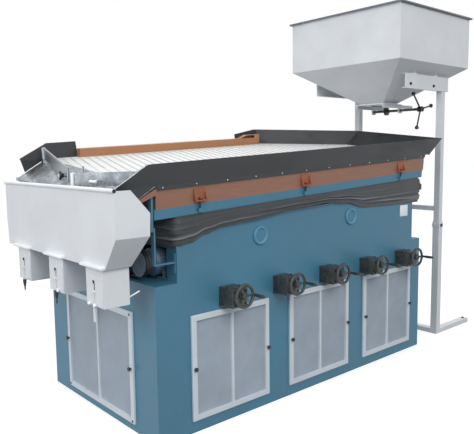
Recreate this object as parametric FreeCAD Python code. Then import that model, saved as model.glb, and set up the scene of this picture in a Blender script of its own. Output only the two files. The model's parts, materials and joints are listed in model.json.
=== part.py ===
# Specific gravity separator: an air table that sorts seed by weight on a shaking, tilted deck.
# Millimetres. The origin is the centre of the cabinet's footprint on the floor, +Z is up,
# -Y is the front with the air controls, -X is the discharge end and +X the feed end.
import FreeCAD, Part
import math
import os

# Lower cabinet, which stands on the floor and holds the fans
BASE_LENGTH = 2600.0
BASE_WIDTH = 1320.0
BASE_HEIGHT = 910.0
CABINET_WALL = 4.0

# Service covers on the back
REAR_COVER_WIDTH = 700.0
REAR_COVER_HEIGHT = 640.0
REAR_COVER_BOTTOM = 110.0
REAR_COVER_LAP = 30.0
REAR_COVER_COUNT = 3

# Upper cabinet (air plenum) and the drive bay recessed in its discharge end
LEDGE_LEFT = 150.0
LEDGE_RIGHT = 115.0
BAY_DEPTH = 370.0
BAY_HEIGHT = 190.0
BAY_CHEEK = 100.0
RIM_FLANGE = 14.0
RIM_THICK = 6.0
BELLOWS_RISE = 75.0
COVER_RADIUS = 60.0
COVER_PLACES = (790.0, 1690.0)
COVER_DROP = 125.0
PORT_RING = 13.0

# Air filters: three in front, one in the discharge end
FILTER_WIDTH = 616.0
FILTER_HEIGHT = 632.0
FILTER_BOTTOM = 74.0
FILTER_STEPS = (236.0, 1044.0, 1839.0)
FILTER_PROUD = 15.0
FILTER_STILE = 32.0
FILTER_BAR = 18.0
END_FILTER_WIDTH = 839.0
END_FILTER_HEIGHT = 677.0
END_FILTER_BOTTOM = 50.0
END_FILTER_START = 239.0
KNOB_RADIUS = 13.0
KNOB_LENGTH = 20.0

# Air controls: a gearbox, handwheel and damper for each fan
FAN_COUNT = 5
FAN_FIRST = 509.0
FAN_PITCH = 450.0
GEARBOX_WIDTH = 120.0
GEARBOX_HEIGHT = 115.0
GEARBOX_DEPTH = 125.0
GEARBOX_BOTTOM = 730.0
WHEEL_RADIUS = 75.0
WHEEL_RIM = 7.0
WHEEL_STANDOFF = 28.0
WHEEL_RISE = 17.0
WHEEL_SHAFT = 9.0
GRIP_LENGTH = 85.0
GRIP_RADIUS = 9.0
RUN_FIT = 0.05

# Fans on one shaft inside the lower cabinet
FAN_AXIS_HEIGHT = 380.0
FAN_AXIS_DEPTH = 520.0
IMPELLER_RADIUS = 190.0
IMPELLER_WIDTH = 150.0
IMPELLER_BLADES = 8
VOLUTE_START = 205.0
VOLUTE_END = 300.0
VOLUTE_CUTOFF = 75.0
CASING_WIDTH = 170.0
CASING_WALL = 3.0
FAN_SHAFT_RADIUS = 25.0
FAN_PULLEY_RADIUS = 125.0
FAN_PULLEY_PLACE = 150.0
FAN_MOTOR_PULLEY_RADIUS = 90.0
FAN_MOTOR_RADIUS = 115.0
FAN_MOTOR_LENGTH = 380.0
FAN_MOTOR_DEPTH = 1050.0
FAN_MOTOR_HEIGHT = 250.0
FAN_BEARING_PLACES = (290.0, 1184.0, 2084.0, 2450.0)
MOTOR_SHAFT = 14.0
MOTOR_SHAFT_REACH = 60.0
MOTOR_STANDOFF = 25.0
BELT_WIDTH = 44.0
BELT_THICK = 9.0
BELT_GAP = 0.2
DAMPER_SHAFT_RADIUS = 8.0
DAMPER_GAP = 2.5
DAMPER_DROP = 130.0

# Deck: a rigid tray tilted to the back and to the feed end, shaken along its width
DECK_HEIGHT = 1463.0
DECK_OVERHANG = 20.0
DECK_SIDE_TILT = 6.0
DECK_END_TILT = 2.95
DECK_WIDTH = 1366.0
DECK_FLOOR = 2683.0
DECK_FRAME_START = 10.0
DECK_FRAME_END = 2620.0
DECK_FRAME_DEPTH = 130.0
DECK_FRAME_WALL = 45.0
SUBFRAME_END = 2607.0
SUBFRAME_DEPTH = 57.0
SUBFRAME_BAR = 60.0
CHANNEL_SKIN = 6.0
CORNER_SIDE = 850.0
CORNER_BACK = 2035.0
SCREEN_THICK = 8.0
RIFFLE_HEIGHT = 5.0
RIFFLE_WIDTH = 5.0
RIFFLE_PITCH = 62.0
RIFFLE_ANGLE = 73.0
BACK_BAR_START = 245.0
BACK_BAR_RISE = 60.0
WALL_HEIGHT = 125.0
WALL_FLARE = 35.0
END_FLARE = 110.0
WALL_THICK = 8.0
REAR_WALL_START = 1779.0
CLAMP_PLACES = (304.0, 1188.0, 2286.0)
CLAMP_WIDTH = 84.0
CLAMP_HEIGHT = 72.0
CLAMP_LIP = 26.0
CLAMP_TOP = -40.0
TRIM_REACH = 105.0
GUSSET_SIDES = (120.0, 430.0, 740.0)
WALL_TIP = -255.0
WALL_SHOULDER = -50.0
SKIRT_DROP = 17.0
REAR_WALL_RISE = 93.0

# Bellows between the plenum rim and the deck
BELLOWS_OUT = 26.0
BELLOWS_SHEET = 10.0
BELLOWS_END_OUT = 110.0
SOFT_GAP = 0.5

# Discharge apron and swing blades at the low end of the deck
APRON_RUN = 200.0
APRON_SLOPE = 29.0
APRON_SHEET = 3.0
APRON_RIBS = (340.0, 683.0, 1020.0)
BLADE_SHEET = 5.0
BLADE_HEIGHT = 88.0
BLADE_PIVOT_RADIUS = 9.0
BLADE_LIFT = 8.0
FRONT_HINGE = (-40.0, 24.0)
FRONT_TIP = (-235.0, 440.0)
REAR_HINGE = (-22.0, 1325.0)
REAR_TIP = (-200.0, 590.0)
LOCK_STEM = 5.0
LOCK_RADIUS = 26.0
LOCK_INSET = 70.0
LOCK_BOSS = 12.0

# Rocker legs and eccentric drive
LEG_LENGTH = 200.0
LEG_THICK = 14.0
LEG_WIDE = 26.0
LEG_PIN = 7.0
OUTER_LEG_PLACE = -12.0
OUTER_LEG_SIDES = (16.0, 1290.0)
OUTER_LEG_TOP = 45.0
INNER_LEG_PLACE = 2400.0
INNER_LEG_SIDES = (120.0, 1246.0)
INNER_LEG_TOP = 215.0
BEAM_DROP = 470.0
PIVOT_CLEAR = 0.3
LEG_SIDE_GAP = 1.5
DRIVE_AXIS_HEIGHT = 1020.0
DRIVE_AXIS_DEPTH = 660.0
DRIVE_SHAFT_RADIUS = 17.5
ECCENTRICITY = 4.0
ECCENTRIC_RADIUS = 30.0
ECCENTRIC_WIDTH = 36.0
ECCENTRIC_PLACE = 92.0
ROD_LENGTH = 300.0
ROD_RING_WALL = 16.0
ROD_PIN = 12.0
FLYWHEEL_RADIUS = 100.0
FLYWHEEL_WIDTH = 40.0
FLYWHEEL_PLACE = 46.0
SHAKER_MOTOR_RADIUS = 82.0
SHAKER_MOTOR_LENGTH = 250.0
SHAKER_MOTOR_DEPTH = 205.0
SHAKER_PULLEY_RADIUS = 70.0
DRIVE_BEARING_PLACES = (205.0, 430.0)

# Discharge hopper with three spouts
HOPPER_OUT = 280.0
HOPPER_BACK = 85.0
HOPPER_START = -95.0
HOPPER_FINISH = 1354.0
HOPPER_TOP = 1455.0
HOPPER_SHOULDER = -190.0
HOPPER_BACK_TOP = 1331.0
HOPPER_BEND = 1212.0
HOPPER_BOTTOM = 1045.0
HOPPER_END_SLANT = 122.0
HOPPER_BACK_SLANT = 45.0
HOPPER_WALL = 3.0
HOPPER_LIP_RADIUS = 11.0
SPOUT_STARTS = (44.0, 517.0, 992.0)
SPOUT_WIDTH = 192.0
SPOUT_BOTTOM = 833.0
SPOUT_DEPTH = 150.0
OUTLET_PLATE = 3.0
OUTLET_SLOT = 12.0
OUTLET_TRAVEL = 50.0
OUTLET_LIP = 22.0
HOPPER_BRACKETS = (330.0, 1010.0)
RIDGE_HEIGHT = 90.0

# Feed hopper, its slide gate and stand
FEED_X = 2714.0
FEED_LENGTH = 1015.0
FEED_START = -48.0
FEED_WIDTH = 1102.0
FEED_TOP = 2748.0
FEED_KNEE = 2326.0
FEED_OUTLET_TOP = 2040.0
FEED_OUTLET_X = 200.0
FEED_OUTLET_Y = 240.0
FEED_WALL = 4.0
FEED_RIM = 22.0
GATE_PLATE = 4.0
GATE_TRAVEL = 180.0
GATE_RAIL = 24.0
GATE_FIT = 0.4
GEAR_MODULE = 4.0
PINION_TEETH = 16
GEAR_WIDTH = 24.0
PRESSURE_ANGLE = 20.0
DEDENDUM = 1.25
FLANK_SHARE = 0.955
RACK_BACK = 6.0
GEAR_BACKLASH = 0.3
PINION_SHAFT = 11.0
HANDLE_REACH = 167.0
HANDLE_PLACE = 160.0
HANDLE_ANGLES = (12.0, 132.0, 252.0)
POST_X = 3000.0
POST_SECTION = 60.0
POST_WALL = 4.0
POST_PLACES = (70.0, 936.0)
ARM_FLANGE = 30.0
POST_SPLICE = 1010.0
ARM_BOTTOM = 2126.0
ARM_HEIGHT = 116.0
ARM_START = 2420.0
ARM_END = 3065.0
FOOT_END = 3530.0
FOOT_HEIGHT = 40.0
BRACE_HEIGHT = 1120.0
TIE_PLACE = 640.0

# Flat facets round the round pieces that nothing runs in or on
ROUND_SIDES = 16
KNOB_SIDES = 10
WHEEL_SIDES = 24
RIM_SIDES = 6
VOLUTE_STEPS = 16
WRAP_STEPS = 16

LEFT = -BASE_LENGTH / 2
FRONT = -BASE_WIDTH / 2
UP = FreeCAD.Vector(0, 0, 1)
ALONG = FreeCAD.Vector(1, 0, 0)
ACROSS = FreeCAD.Vector(0, 1, 0)
ORIGIN = FreeCAD.Vector(0, 0, 0)


def at(x, y, z):
    """A point given from the cabinet's front left bottom corner."""
    return FreeCAD.Vector(LEFT + x, FRONT + y, z)


def box(x0, x1, y0, y1, z0, z1):
    """A block between two corners, in the cabinet's corner frame."""
    return Part.makeBox(x1 - x0, y1 - y0, z1 - z0, at(x0, y0, z0))


def local_box(x0, x1, y0, y1, z0, z1):
    """A block in a frame of its own, such as the deck's."""
    return Part.makeBox(x1 - x0, y1 - y0, z1 - z0, FreeCAD.Vector(x0, y0, z0))


def prism(points, depth):
    """A flat outline pushed along a vector."""
    wire = Part.makePolygon(points + points[:1])
    return Part.Face(wire).extrude(depth)


def joined(shapes):
    """One solid from pieces that touch or overlap."""
    return shapes[0].multiFuse(shapes[1:]).removeSplitter()


def flat_faces(points):
    """Flat faces over a loop of points: two triangles where four points aren't in a plane."""
    loop = [p for i, p in enumerate(points) if p.distanceToPoint(points[i - 1]) > 1e-6]
    if len(loop) < 3:
        return []
    if len(loop) == 4:
        normal = (loop[1] - loop[0]).cross(loop[2] - loop[0])
        if abs(normal.dot(loop[3] - loop[0])) > 1e-6 * normal.Length:
            return flat_faces(loop[:3]) + flat_faces(loop[2:] + loop[:1])
    return [Part.Face(Part.makePolygon(loop + loop[:1]))]


def skinned(rings):
    """A solid with flat faces between rings of points that follow one another."""
    faces = []
    for lower, upper in zip(rings, rings[1:]):
        for i in range(len(lower)):
            faces += flat_faces([lower[i - 1], lower[i], upper[i], upper[i - 1]])
    if rings[0] is not rings[-1]:
        faces += flat_faces(rings[0]) + flat_faces(rings[-1])
    solid = Part.Solid(Part.Shell(faces)).removeSplitter()
    if solid.Volume < 0:
        solid.reverse()
    return solid


def block8(lower, upper):
    """A solid between two four-sided outlines given in the same order."""
    return skinned([lower, upper])


def rod(start, direction, radius, length):
    """A true cylinder, for shafts, pins and the bores that they run in."""
    return Part.makeCylinder(radius, length, start, direction)


def round_bar(start, direction, radius, length, sides=ROUND_SIDES):
    """A faceted cylinder, for round pieces that nothing runs in or on."""
    turn = FreeCAD.Rotation(UP, direction)
    rim = []
    for k in range(sides):
        angle = 2 * math.pi * k / sides
        rim.append(start + turn.multVec(FreeCAD.Vector(math.cos(angle), math.sin(angle), 0) * radius))
    return prism(rim, turn.multVec(UP * length))


def round_hole(start, direction, radius, length):
    """A faceted clearance hole that is nowhere narrower than its radius."""
    return round_bar(start, direction, radius / math.cos(math.pi / ROUND_SIDES), length)


def turned(profile, axis, sides=ROUND_SIDES):
    """A closed profile of points turned about an axis through the origin, in flat facets."""
    turns = [FreeCAD.Rotation(axis, 360.0 * k / sides) for k in range(sides)]
    rings = [[turn.multVec(point) for turn in turns] for point in profile]
    return skinned(rings + rings[:1])


def on_deck(shape):
    """Move a shape from the deck's own frame to its tilted place."""
    shape.rotate(ORIGIN, ALONG, DECK_SIDE_TILT)
    shape.rotate(ORIGIN, ACROSS, -DECK_END_TILT)
    shape.translate(at(0, -DECK_OVERHANG, DECK_HEIGHT))
    return shape


def deck_direction(u, v, w):
    tilt = FreeCAD.Rotation(ALONG, DECK_SIDE_TILT)
    rise = FreeCAD.Rotation(ACROSS, -DECK_END_TILT)
    return rise.multVec(tilt.multVec(FreeCAD.Vector(u, v, w)))


def deck_point(u, v, w):
    """Where a point of the deck's own frame lies."""
    return at(0, -DECK_OVERHANG, DECK_HEIGHT) + deck_direction(u, v, w)


def deck_level(x, y, drop=0.0):
    """Height of the deck plane, or one parallel below it, over a corner-frame place."""
    normal = deck_direction(0, 0, 1)
    anchor = deck_point(0, 0, -drop)
    place = at(x, y, 0)
    reach = normal.x * (place.x - anchor.x) + normal.y * (place.y - anchor.y)
    return anchor.z - reach / normal.z


def save(name, shapes):
    whole = shapes[0] if len(shapes) == 1 else Part.makeCompound(shapes)
    whole.exportStep("parts/" + name + ".step")


def fan_places():
    return [FAN_FIRST + FAN_PITCH * i for i in range(FAN_COUNT)]


def front_filters():
    """Corner, width and height of each front filter."""
    return [(start, FILTER_WIDTH, FILTER_HEIGHT) for start in FILTER_STEPS]


def window(start, width, bottom, height, inset):
    """The opening behind a front filter."""
    depth = 2 * CABINET_WALL
    return box(start + inset, start + width - inset, -CABINET_WALL, depth,
               bottom + inset, bottom + height - inset)


def end_window(inset):
    start = END_FILTER_START + inset
    finish = END_FILTER_START + END_FILTER_WIDTH - inset
    return box(-CABINET_WALL, 2 * CABINET_WALL, start, finish,
               END_FILTER_BOTTOM + inset, END_FILTER_BOTTOM + END_FILTER_HEIGHT - inset)


def duct_span():
    """Front and back inner faces of the fan outlets."""
    cutoff = math.radians(VOLUTE_CUTOFF)
    return (FAN_AXIS_DEPTH + VOLUTE_START * math.cos(cutoff), FAN_AXIS_DEPTH + VOLUTE_END)


def wheel_height():
    return GEARBOX_BOTTOM + GEARBOX_HEIGHT / 2 + WHEEL_RISE


def damper_height():
    return BASE_HEIGHT - DAMPER_DROP


def lower_cabinet():
    """Sheet body with filter windows, fan throats and service openings at the back."""
    body = box(0, BASE_LENGTH, 0, BASE_WIDTH, 0, BASE_HEIGHT)
    inner = box(CABINET_WALL, BASE_LENGTH - CABINET_WALL, CABINET_WALL, BASE_WIDTH - CABINET_WALL,
                CABINET_WALL, BASE_HEIGHT - CABINET_WALL)
    cuts = [inner]
    for start, width, height in front_filters():
        cuts.append(window(start, width, FILTER_BOTTOM, height, FILTER_STILE))
    cuts.append(end_window(FILTER_STILE))
    near, far = duct_span()
    half = CASING_WIDTH / 2 + CASING_WALL + GATE_FIT
    for place in fan_places():
        cuts.append(box(place - half, place + half, near - CASING_WALL - GATE_FIT,
                        far + CASING_WALL + GATE_FIT, BASE_HEIGHT - 2 * CABINET_WALL, BASE_HEIGHT + 1))
        cuts.append(round_hole(at(place, -1, wheel_height()), ACROSS, WHEEL_SHAFT + 1,
                               3 * CABINET_WALL))
        cuts.append(round_hole(at(place, -1, damper_height()), ACROSS, DAMPER_SHAFT_RADIUS + 1,
                               3 * CABINET_WALL))
    for start in rear_cover_starts():
        cuts.append(box(start + REAR_COVER_LAP, start + REAR_COVER_WIDTH - REAR_COVER_LAP,
                        BASE_WIDTH - 2 * CABINET_WALL, BASE_WIDTH + 1,
                        REAR_COVER_BOTTOM + REAR_COVER_LAP,
                        REAR_COVER_BOTTOM + REAR_COVER_HEIGHT - REAR_COVER_LAP))
    return [body.cut(cuts)]


def rear_cover_starts():
    """Left edges of the service covers, spread evenly over the back."""
    spare = BASE_LENGTH - REAR_COVER_COUNT * REAR_COVER_WIDTH
    gap = spare / (REAR_COVER_COUNT + 1)
    return [gap + i * (REAR_COVER_WIDTH + gap) for i in range(REAR_COVER_COUNT)]


def rear_access_covers():
    """Flat pressed covers with a raised panel."""
    covers = []
    for start in rear_cover_starts():
        plate = box(start, start + REAR_COVER_WIDTH, BASE_WIDTH, BASE_WIDTH + CASING_WALL,
                    REAR_COVER_BOTTOM, REAR_COVER_BOTTOM + REAR_COVER_HEIGHT)
        inset = 2 * REAR_COVER_LAP
        rise = 3 * CASING_WALL
        x0 = start + inset
        x1 = start + REAR_COVER_WIDTH - inset
        z0 = REAR_COVER_BOTTOM + inset
        z1 = REAR_COVER_BOTTOM + REAR_COVER_HEIGHT - inset
        base = [at(x0, BASE_WIDTH, z0), at(x1, BASE_WIDTH, z0), at(x1, BASE_WIDTH, z1),
                at(x0, BASE_WIDTH, z1)]
        top = [at(x0 + rise, BASE_WIDTH + rise, z0 + rise), at(x1 - rise, BASE_WIDTH + rise, z0 + rise),
               at(x1 - rise, BASE_WIDTH + rise, z1 - rise), at(x0 + rise, BASE_WIDTH + rise, z1 - rise)]
        covers.append(joined([plate, block8(base, top)]))
    return covers


def bay_box(grow):
    """The drive bay recess, or the outside of its lining."""
    return box(LEDGE_LEFT - 1, LEDGE_LEFT + BAY_DEPTH + grow, BAY_CHEEK - grow,
               BASE_WIDTH - BAY_CHEEK + grow, BASE_HEIGHT - 1, BASE_HEIGHT + BAY_HEIGHT + grow)


def above_deck_level(drop, height):
    """Everything in a slab that starts a given drop below the deck plane."""
    slab = local_box(-600, BASE_LENGTH + 600, -600, BASE_WIDTH + 600, -drop, -drop + height)
    return on_deck(slab)


def rim_drop():
    return DECK_FRAME_DEPTH + SUBFRAME_DEPTH + BELLOWS_RISE


def plenum_block(grow, top):
    """The plenum's outline grown outward, from the cabinet roof to a height."""
    return box(LEDGE_LEFT - grow, BASE_LENGTH - LEDGE_RIGHT + grow, -grow, BASE_WIDTH + grow,
               BASE_HEIGHT, top)


def beam_level():
    """Top of the cross beam that carries the inner rocker legs."""
    return deck_level(INNER_LEG_PLACE, 0, BEAM_DROP)


def upper_plenum():
    """Air chamber whose rim is parallel to the deck, with the drive bay in its end."""
    tall = DECK_HEIGHT + BASE_WIDTH
    shell = plenum_block(0, tall).cut(plenum_block(-CABINET_WALL, tall))
    lining = bay_box(CABINET_WALL).common(plenum_block(0, tall))
    shell = shell.fuse(lining)
    shell = shell.cut(above_deck_level(rim_drop(), tall))
    shell = shell.cut(bay_box(0))
    rim = plenum_block(RIM_FLANGE, tall).cut(plenum_block(-CABINET_WALL, tall))
    flange = rim.common(above_deck_level(rim_drop() + RIM_THICK, RIM_THICK))
    level = beam_level()
    beam = box(INNER_LEG_PLACE - LEG_WIDE, INNER_LEG_PLACE + LEG_WIDE, 0, BASE_WIDTH,
               level - SUBFRAME_BAR, level)
    return [joined([shell, flange, beam])]


def port_covers():
    """Round pressed covers over the inspection ports: a raised ring round a flat disc."""
    covers = []
    for place in COVER_PLACES:
        height = deck_level(place, 0, rim_drop()) - COVER_DROP
        profile = [FreeCAD.Vector(0, 0, 0), FreeCAD.Vector(COVER_RADIUS, 0, 0),
                   FreeCAD.Vector(COVER_RADIUS, 0, 9), FreeCAD.Vector(COVER_RADIUS - 5, 0, 14),
                   FreeCAD.Vector(COVER_RADIUS - PORT_RING, 0, 14),
                   FreeCAD.Vector(COVER_RADIUS - PORT_RING - 5, 0, 5),
                   FreeCAD.Vector(0, 0, 5)]
        cover = turned(profile, UP)
        cover.rotate(ORIGIN, ALONG, 90)
        cover.translate(at(place, 0, height))
        covers.append(cover)
    return covers


def bevelled_frame(width, height, stile, proud, bevel):
    """A rectangular frame lying in XZ with its front bevelled, and a middle bar."""
    back = [FreeCAD.Vector(0, 0, 0), FreeCAD.Vector(width, 0, 0), FreeCAD.Vector(width, 0, height),
            FreeCAD.Vector(0, 0, height)]
    slab = prism(back, FreeCAD.Vector(0, bevel - proud, 0))
    rear = [p + FreeCAD.Vector(0, bevel - proud, 0) for p in back]
    shrink = [(bevel, bevel), (-bevel, bevel), (-bevel, -bevel), (bevel, -bevel)]
    face = [p + FreeCAD.Vector(dx, -proud, dz) for p, (dx, dz) in zip(back, shrink)]
    outside = joined([slab, block8(rear, face)])
    opening = local_box(stile, width - stile, -proud - 1, 1, stile, height - stile)
    middle = local_box((width - FILTER_BAR) / 2, (width + FILTER_BAR) / 2, bevel - proud, 0,
                       stile, height - stile)
    return joined([outside.cut(opening), middle])


def filter_frame(start, width, height, bottom):
    frame = bevelled_frame(width, height, FILTER_STILE, FILTER_PROUD, 3)
    frame.translate(at(start, 0, bottom))
    return frame


def filter_frame_end():
    """The larger frame on the discharge end."""
    frame = bevelled_frame(END_FILTER_WIDTH, END_FILTER_HEIGHT, FILTER_STILE, FILTER_PROUD, 3)
    frame.rotate(ORIGIN, UP, -90)
    frame.translate(at(0, END_FILTER_START + END_FILTER_WIDTH, END_FILTER_BOTTOM))
    return frame


def filter_media():
    """Plain filter pads that fill the windows behind the frames."""
    pads = []
    clear = 0.5
    for start, width, height in front_filters():
        inset = FILTER_STILE + clear
        pads.append(box(start + inset, start + width - inset, 0, CABINET_WALL + FILTER_PROUD,
                        FILTER_BOTTOM + inset, FILTER_BOTTOM + height - inset))
    inset = FILTER_STILE + clear
    pads.append(box(0, CABINET_WALL + FILTER_PROUD, END_FILTER_START + inset,
                    END_FILTER_START + END_FILTER_WIDTH - inset, END_FILTER_BOTTOM + inset,
                    END_FILTER_BOTTOM + END_FILTER_HEIGHT - inset))
    return pads


def knob_shape(radius, length):
    """A hand knob on a short neck, standing along +Z."""
    profile = [FreeCAD.Vector(0, 0, 0), FreeCAD.Vector(radius * 0.5, 0, 0),
               FreeCAD.Vector(radius * 0.5, 0, length * 0.35), FreeCAD.Vector(radius, 0, length * 0.45),
               FreeCAD.Vector(radius, 0, length * 0.85), FreeCAD.Vector(radius * 0.8, 0, length),
               FreeCAD.Vector(0, 0, length)]
    return turned(profile, UP, KNOB_SIDES)


def filter_knobs():
    knobs = []
    edge = FILTER_STILE / 2
    for start, width, height in front_filters():
        for x in (start + edge, start + width - edge):
            knob = knob_shape(KNOB_RADIUS, KNOB_LENGTH)
            knob.rotate(ORIGIN, ALONG, 90)
            knob.translate(at(x, -FILTER_PROUD, FILTER_BOTTOM + height / 2))
            knobs.append(knob)
    for y in (END_FILTER_START + edge, END_FILTER_START + END_FILTER_WIDTH - edge):
        knob = knob_shape(KNOB_RADIUS, KNOB_LENGTH)
        knob.rotate(ORIGIN, ACROSS, -90)
        knob.translate(at(-FILTER_PROUD, y, END_FILTER_BOTTOM + END_FILTER_HEIGHT / 2))
        knobs.append(knob)
    return knobs


def gearbox(place):
    """Cast gearbox with a flange, a lid and a bearing boss towards the handwheel."""
    x0 = place - GEARBOX_WIDTH / 2
    x1 = place + GEARBOX_WIDTH / 2
    z0 = GEARBOX_BOTTOM
    z1 = GEARBOX_BOTTOM + GEARBOX_HEIGHT
    body = box(x0, x1, -GEARBOX_DEPTH, -8, z0, z1)
    long_edges = [e for e in body.Edges if abs(e.tangentAt(e.FirstParameter).y) > 0.9]
    body = body.makeChamfer(6, long_edges)
    flange = box(x0, x1, -8, 0, z0 - 8, z1)
    lid = box(x0 + 10, x1 - 10, -GEARBOX_DEPTH - 4, -GEARBOX_DEPTH, z0 + 10, z1 - 10)
    boss_start = at(place, -GEARBOX_DEPTH - 4, wheel_height())
    boss = round_bar(boss_start, ACROSS * -1, WHEEL_SHAFT + 13, 8)
    whole = joined([body, flange, lid, boss])
    wheel_bore = rod(at(place, 1, wheel_height()), ACROSS * -1, WHEEL_SHAFT + RUN_FIT,
                     GEARBOX_DEPTH + 30)
    damper_bore = rod(at(place, 1, damper_height()), ACROSS * -1, DAMPER_SHAFT_RADIUS + RUN_FIT, 61)
    return whole.cut([wheel_bore, damper_bore])


def wheel_plane():
    return -GEARBOX_DEPTH - 12 - WHEEL_STANDOFF


def wheel_rim():
    """Ring of the handwheel about the Y axis, with a faceted round section."""
    section = []
    for k in range(RIM_SIDES):
        angle = 2 * math.pi * k / RIM_SIDES
        section.append(FreeCAD.Vector(WHEEL_RADIUS - WHEEL_RIM + WHEEL_RIM * math.cos(angle),
                                      WHEEL_RIM * math.sin(angle), 0))
    return turned(section, ACROSS, WHEEL_SIDES)


def handwheel(place):
    """Spoked handwheel with a long hub, a shaft into the gearbox and a crank grip."""
    centre = at(place, wheel_plane(), wheel_height())
    rim = wheel_rim()
    rim.translate(centre)
    hub_start = at(place, -GEARBOX_DEPTH - 12 - 0.3, wheel_height())
    hub = round_bar(hub_start, ACROSS * -1, 17, WHEEL_STANDOFF + 6)
    shaft = rod(at(place, -20, wheel_height()), ACROSS * -1, WHEEL_SHAFT, GEARBOX_DEPTH)
    spokes = []
    for turn in (0, 120, 240):
        spoke = local_box(10, WHEEL_RADIUS - WHEEL_RIM, -5, 5, -6, 6)
        spoke.rotate(ORIGIN, ACROSS, turn)
        spoke.translate(centre)
        spokes.append(spoke)
    grip_at = centre + FreeCAD.Vector(WHEEL_RADIUS - WHEEL_RIM, 0, 0)
    neck = round_bar(grip_at, ACROSS * -1, 5, 12 + WHEEL_RIM, KNOB_SIDES)
    profile = [FreeCAD.Vector(0, 0, 0), FreeCAD.Vector(GRIP_RADIUS * 0.7, 0, 0),
               FreeCAD.Vector(GRIP_RADIUS, 0, GRIP_LENGTH * 0.3),
               FreeCAD.Vector(GRIP_RADIUS * 0.8, 0, GRIP_LENGTH * 0.9),
               FreeCAD.Vector(GRIP_RADIUS * 0.5, 0, GRIP_LENGTH), FreeCAD.Vector(0, 0, GRIP_LENGTH)]
    grip = turned(profile, UP, KNOB_SIDES)
    grip.rotate(ORIGIN, ALONG, 90)
    grip.translate(grip_at - ACROSS * (10 + WHEEL_RIM))
    return joined([rim, hub, shaft, neck, grip] + spokes)


def damper(place):
    """Flap on a shaft across the fan outlet."""
    near, far = duct_span()
    half = CASING_WIDTH / 2 - DAMPER_GAP
    start = at(place, -60, damper_height())
    shaft = rod(start, ACROSS, DAMPER_SHAFT_RADIUS, far + 60 - DAMPER_GAP)
    flap = box(place - half, place + half, near + DAMPER_GAP, far - DAMPER_GAP,
               damper_height() - 2, damper_height() + 2)
    return joined([shaft, flap])


def volute_face(x, grow):
    """Outline of a fan casing: a growing spiral that runs up into a straight outlet."""
    centre = at(x, FAN_AXIS_DEPTH, FAN_AXIS_HEIGHT)
    span = 360.0 - VOLUTE_CUTOFF
    points = []
    for i in range(VOLUTE_STEPS + 1):
        share = i / VOLUTE_STEPS
        radius = VOLUTE_START + (VOLUTE_END - VOLUTE_START) * share + grow
        turn = math.radians(VOLUTE_CUTOFF + span * share)
        points.append(centre + FreeCAD.Vector(0, radius * math.cos(turn), radius * math.sin(turn)))
    near, far = duct_span()
    points.append(at(x, far + grow, BASE_HEIGHT))
    points.append(at(x, near - grow, BASE_HEIGHT))
    if grow:
        points.append(at(x, near - grow, points[0].z + 6 * grow))
    return Part.Face(Part.makePolygon(points + points[:1]))


def fan_casing(place):
    """Double inlet volute casing with a damper bore through its outlet."""
    half = CASING_WIDTH / 2
    outer = volute_face(place - half - CASING_WALL, CASING_WALL).extrude(
        ALONG * (CASING_WIDTH + 2 * CASING_WALL))
    inner = volute_face(place - half, 0).extrude(ALONG * CASING_WIDTH)
    near, far = duct_span()
    mouth = box(place - half, place + half, near, far, BASE_HEIGHT - 40, BASE_HEIGHT + 1)
    inlet = round_bar(at(place - half - 2 * CASING_WALL, FAN_AXIS_DEPTH, FAN_AXIS_HEIGHT), ALONG,
                      IMPELLER_RADIUS * 0.62, CASING_WIDTH + 4 * CASING_WALL)
    bore = round_hole(at(place, near - 20, damper_height()), ACROSS, DAMPER_SHAFT_RADIUS + RUN_FIT,
                      far - near + 40)
    return outer.cut([inner, mouth, inlet, bore])


def impeller(place):
    """Double inlet wheel: a middle disc, a hub and straight backward-leaning blades."""
    half = IMPELLER_WIDTH / 2
    centre = at(place, FAN_AXIS_DEPTH, FAN_AXIS_HEIGHT)
    disc = round_bar(centre - ALONG * 2, ALONG, IMPELLER_RADIUS, 4)
    hub = round_bar(centre - ALONG * 40, ALONG, FAN_SHAFT_RADIUS + 18, 80)
    blades = []
    for i in range(IMPELLER_BLADES):
        blade = local_box(-half, half, -2, 2, 0, IMPELLER_RADIUS * 0.44)
        blade.rotate(ORIGIN, ALONG, 35)
        blade.translate(FreeCAD.Vector(0, 0, IMPELLER_RADIUS * 0.58))
        blade.rotate(ORIGIN, ALONG, 360.0 * i / IMPELLER_BLADES)
        blade.translate(centre)
        blades.append(blade)
    whole = joined([disc, hub] + blades)
    bore = rod(centre - ALONG * half, ALONG, FAN_SHAFT_RADIUS, 2 * half)
    return whole.cut(bore)


def fan_shaft():
    end = FAN_BEARING_PLACES[-1] + 60
    start = FAN_PULLEY_PLACE - BELT_WIDTH / 2 - 10
    return rod(at(start, FAN_AXIS_DEPTH, FAN_AXIS_HEIGHT), ALONG, FAN_SHAFT_RADIUS, end - start)


def pulley(centre, radius, width):
    """Flat belt pulley with two flanges, its axis along X, centred on its width."""
    half = width / 2
    profile = [FreeCAD.Vector(-half, 0, 0), FreeCAD.Vector(-half, 0, radius + 5),
               FreeCAD.Vector(-half + 3, 0, radius + 5), FreeCAD.Vector(-half + 5, 0, radius),
               FreeCAD.Vector(half - 5, 0, radius), FreeCAD.Vector(half - 3, 0, radius + 5),
               FreeCAD.Vector(half, 0, radius + 5), FreeCAD.Vector(half, 0, 0)]
    wheel = turned(profile, ALONG)
    wheel.translate(centre)
    return wheel


def wrap(centre, radius, start, sweep):
    """Points round a pulley whose chords stay outside its radius."""
    step = sweep / WRAP_STEPS
    reach = radius / math.cos(step / 2)
    points = []
    for k in range(WRAP_STEPS + 1):
        turn = start + step * k
        points.append(centre + FreeCAD.Vector(0, math.cos(turn), math.sin(turn)) * reach)
    return points


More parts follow.
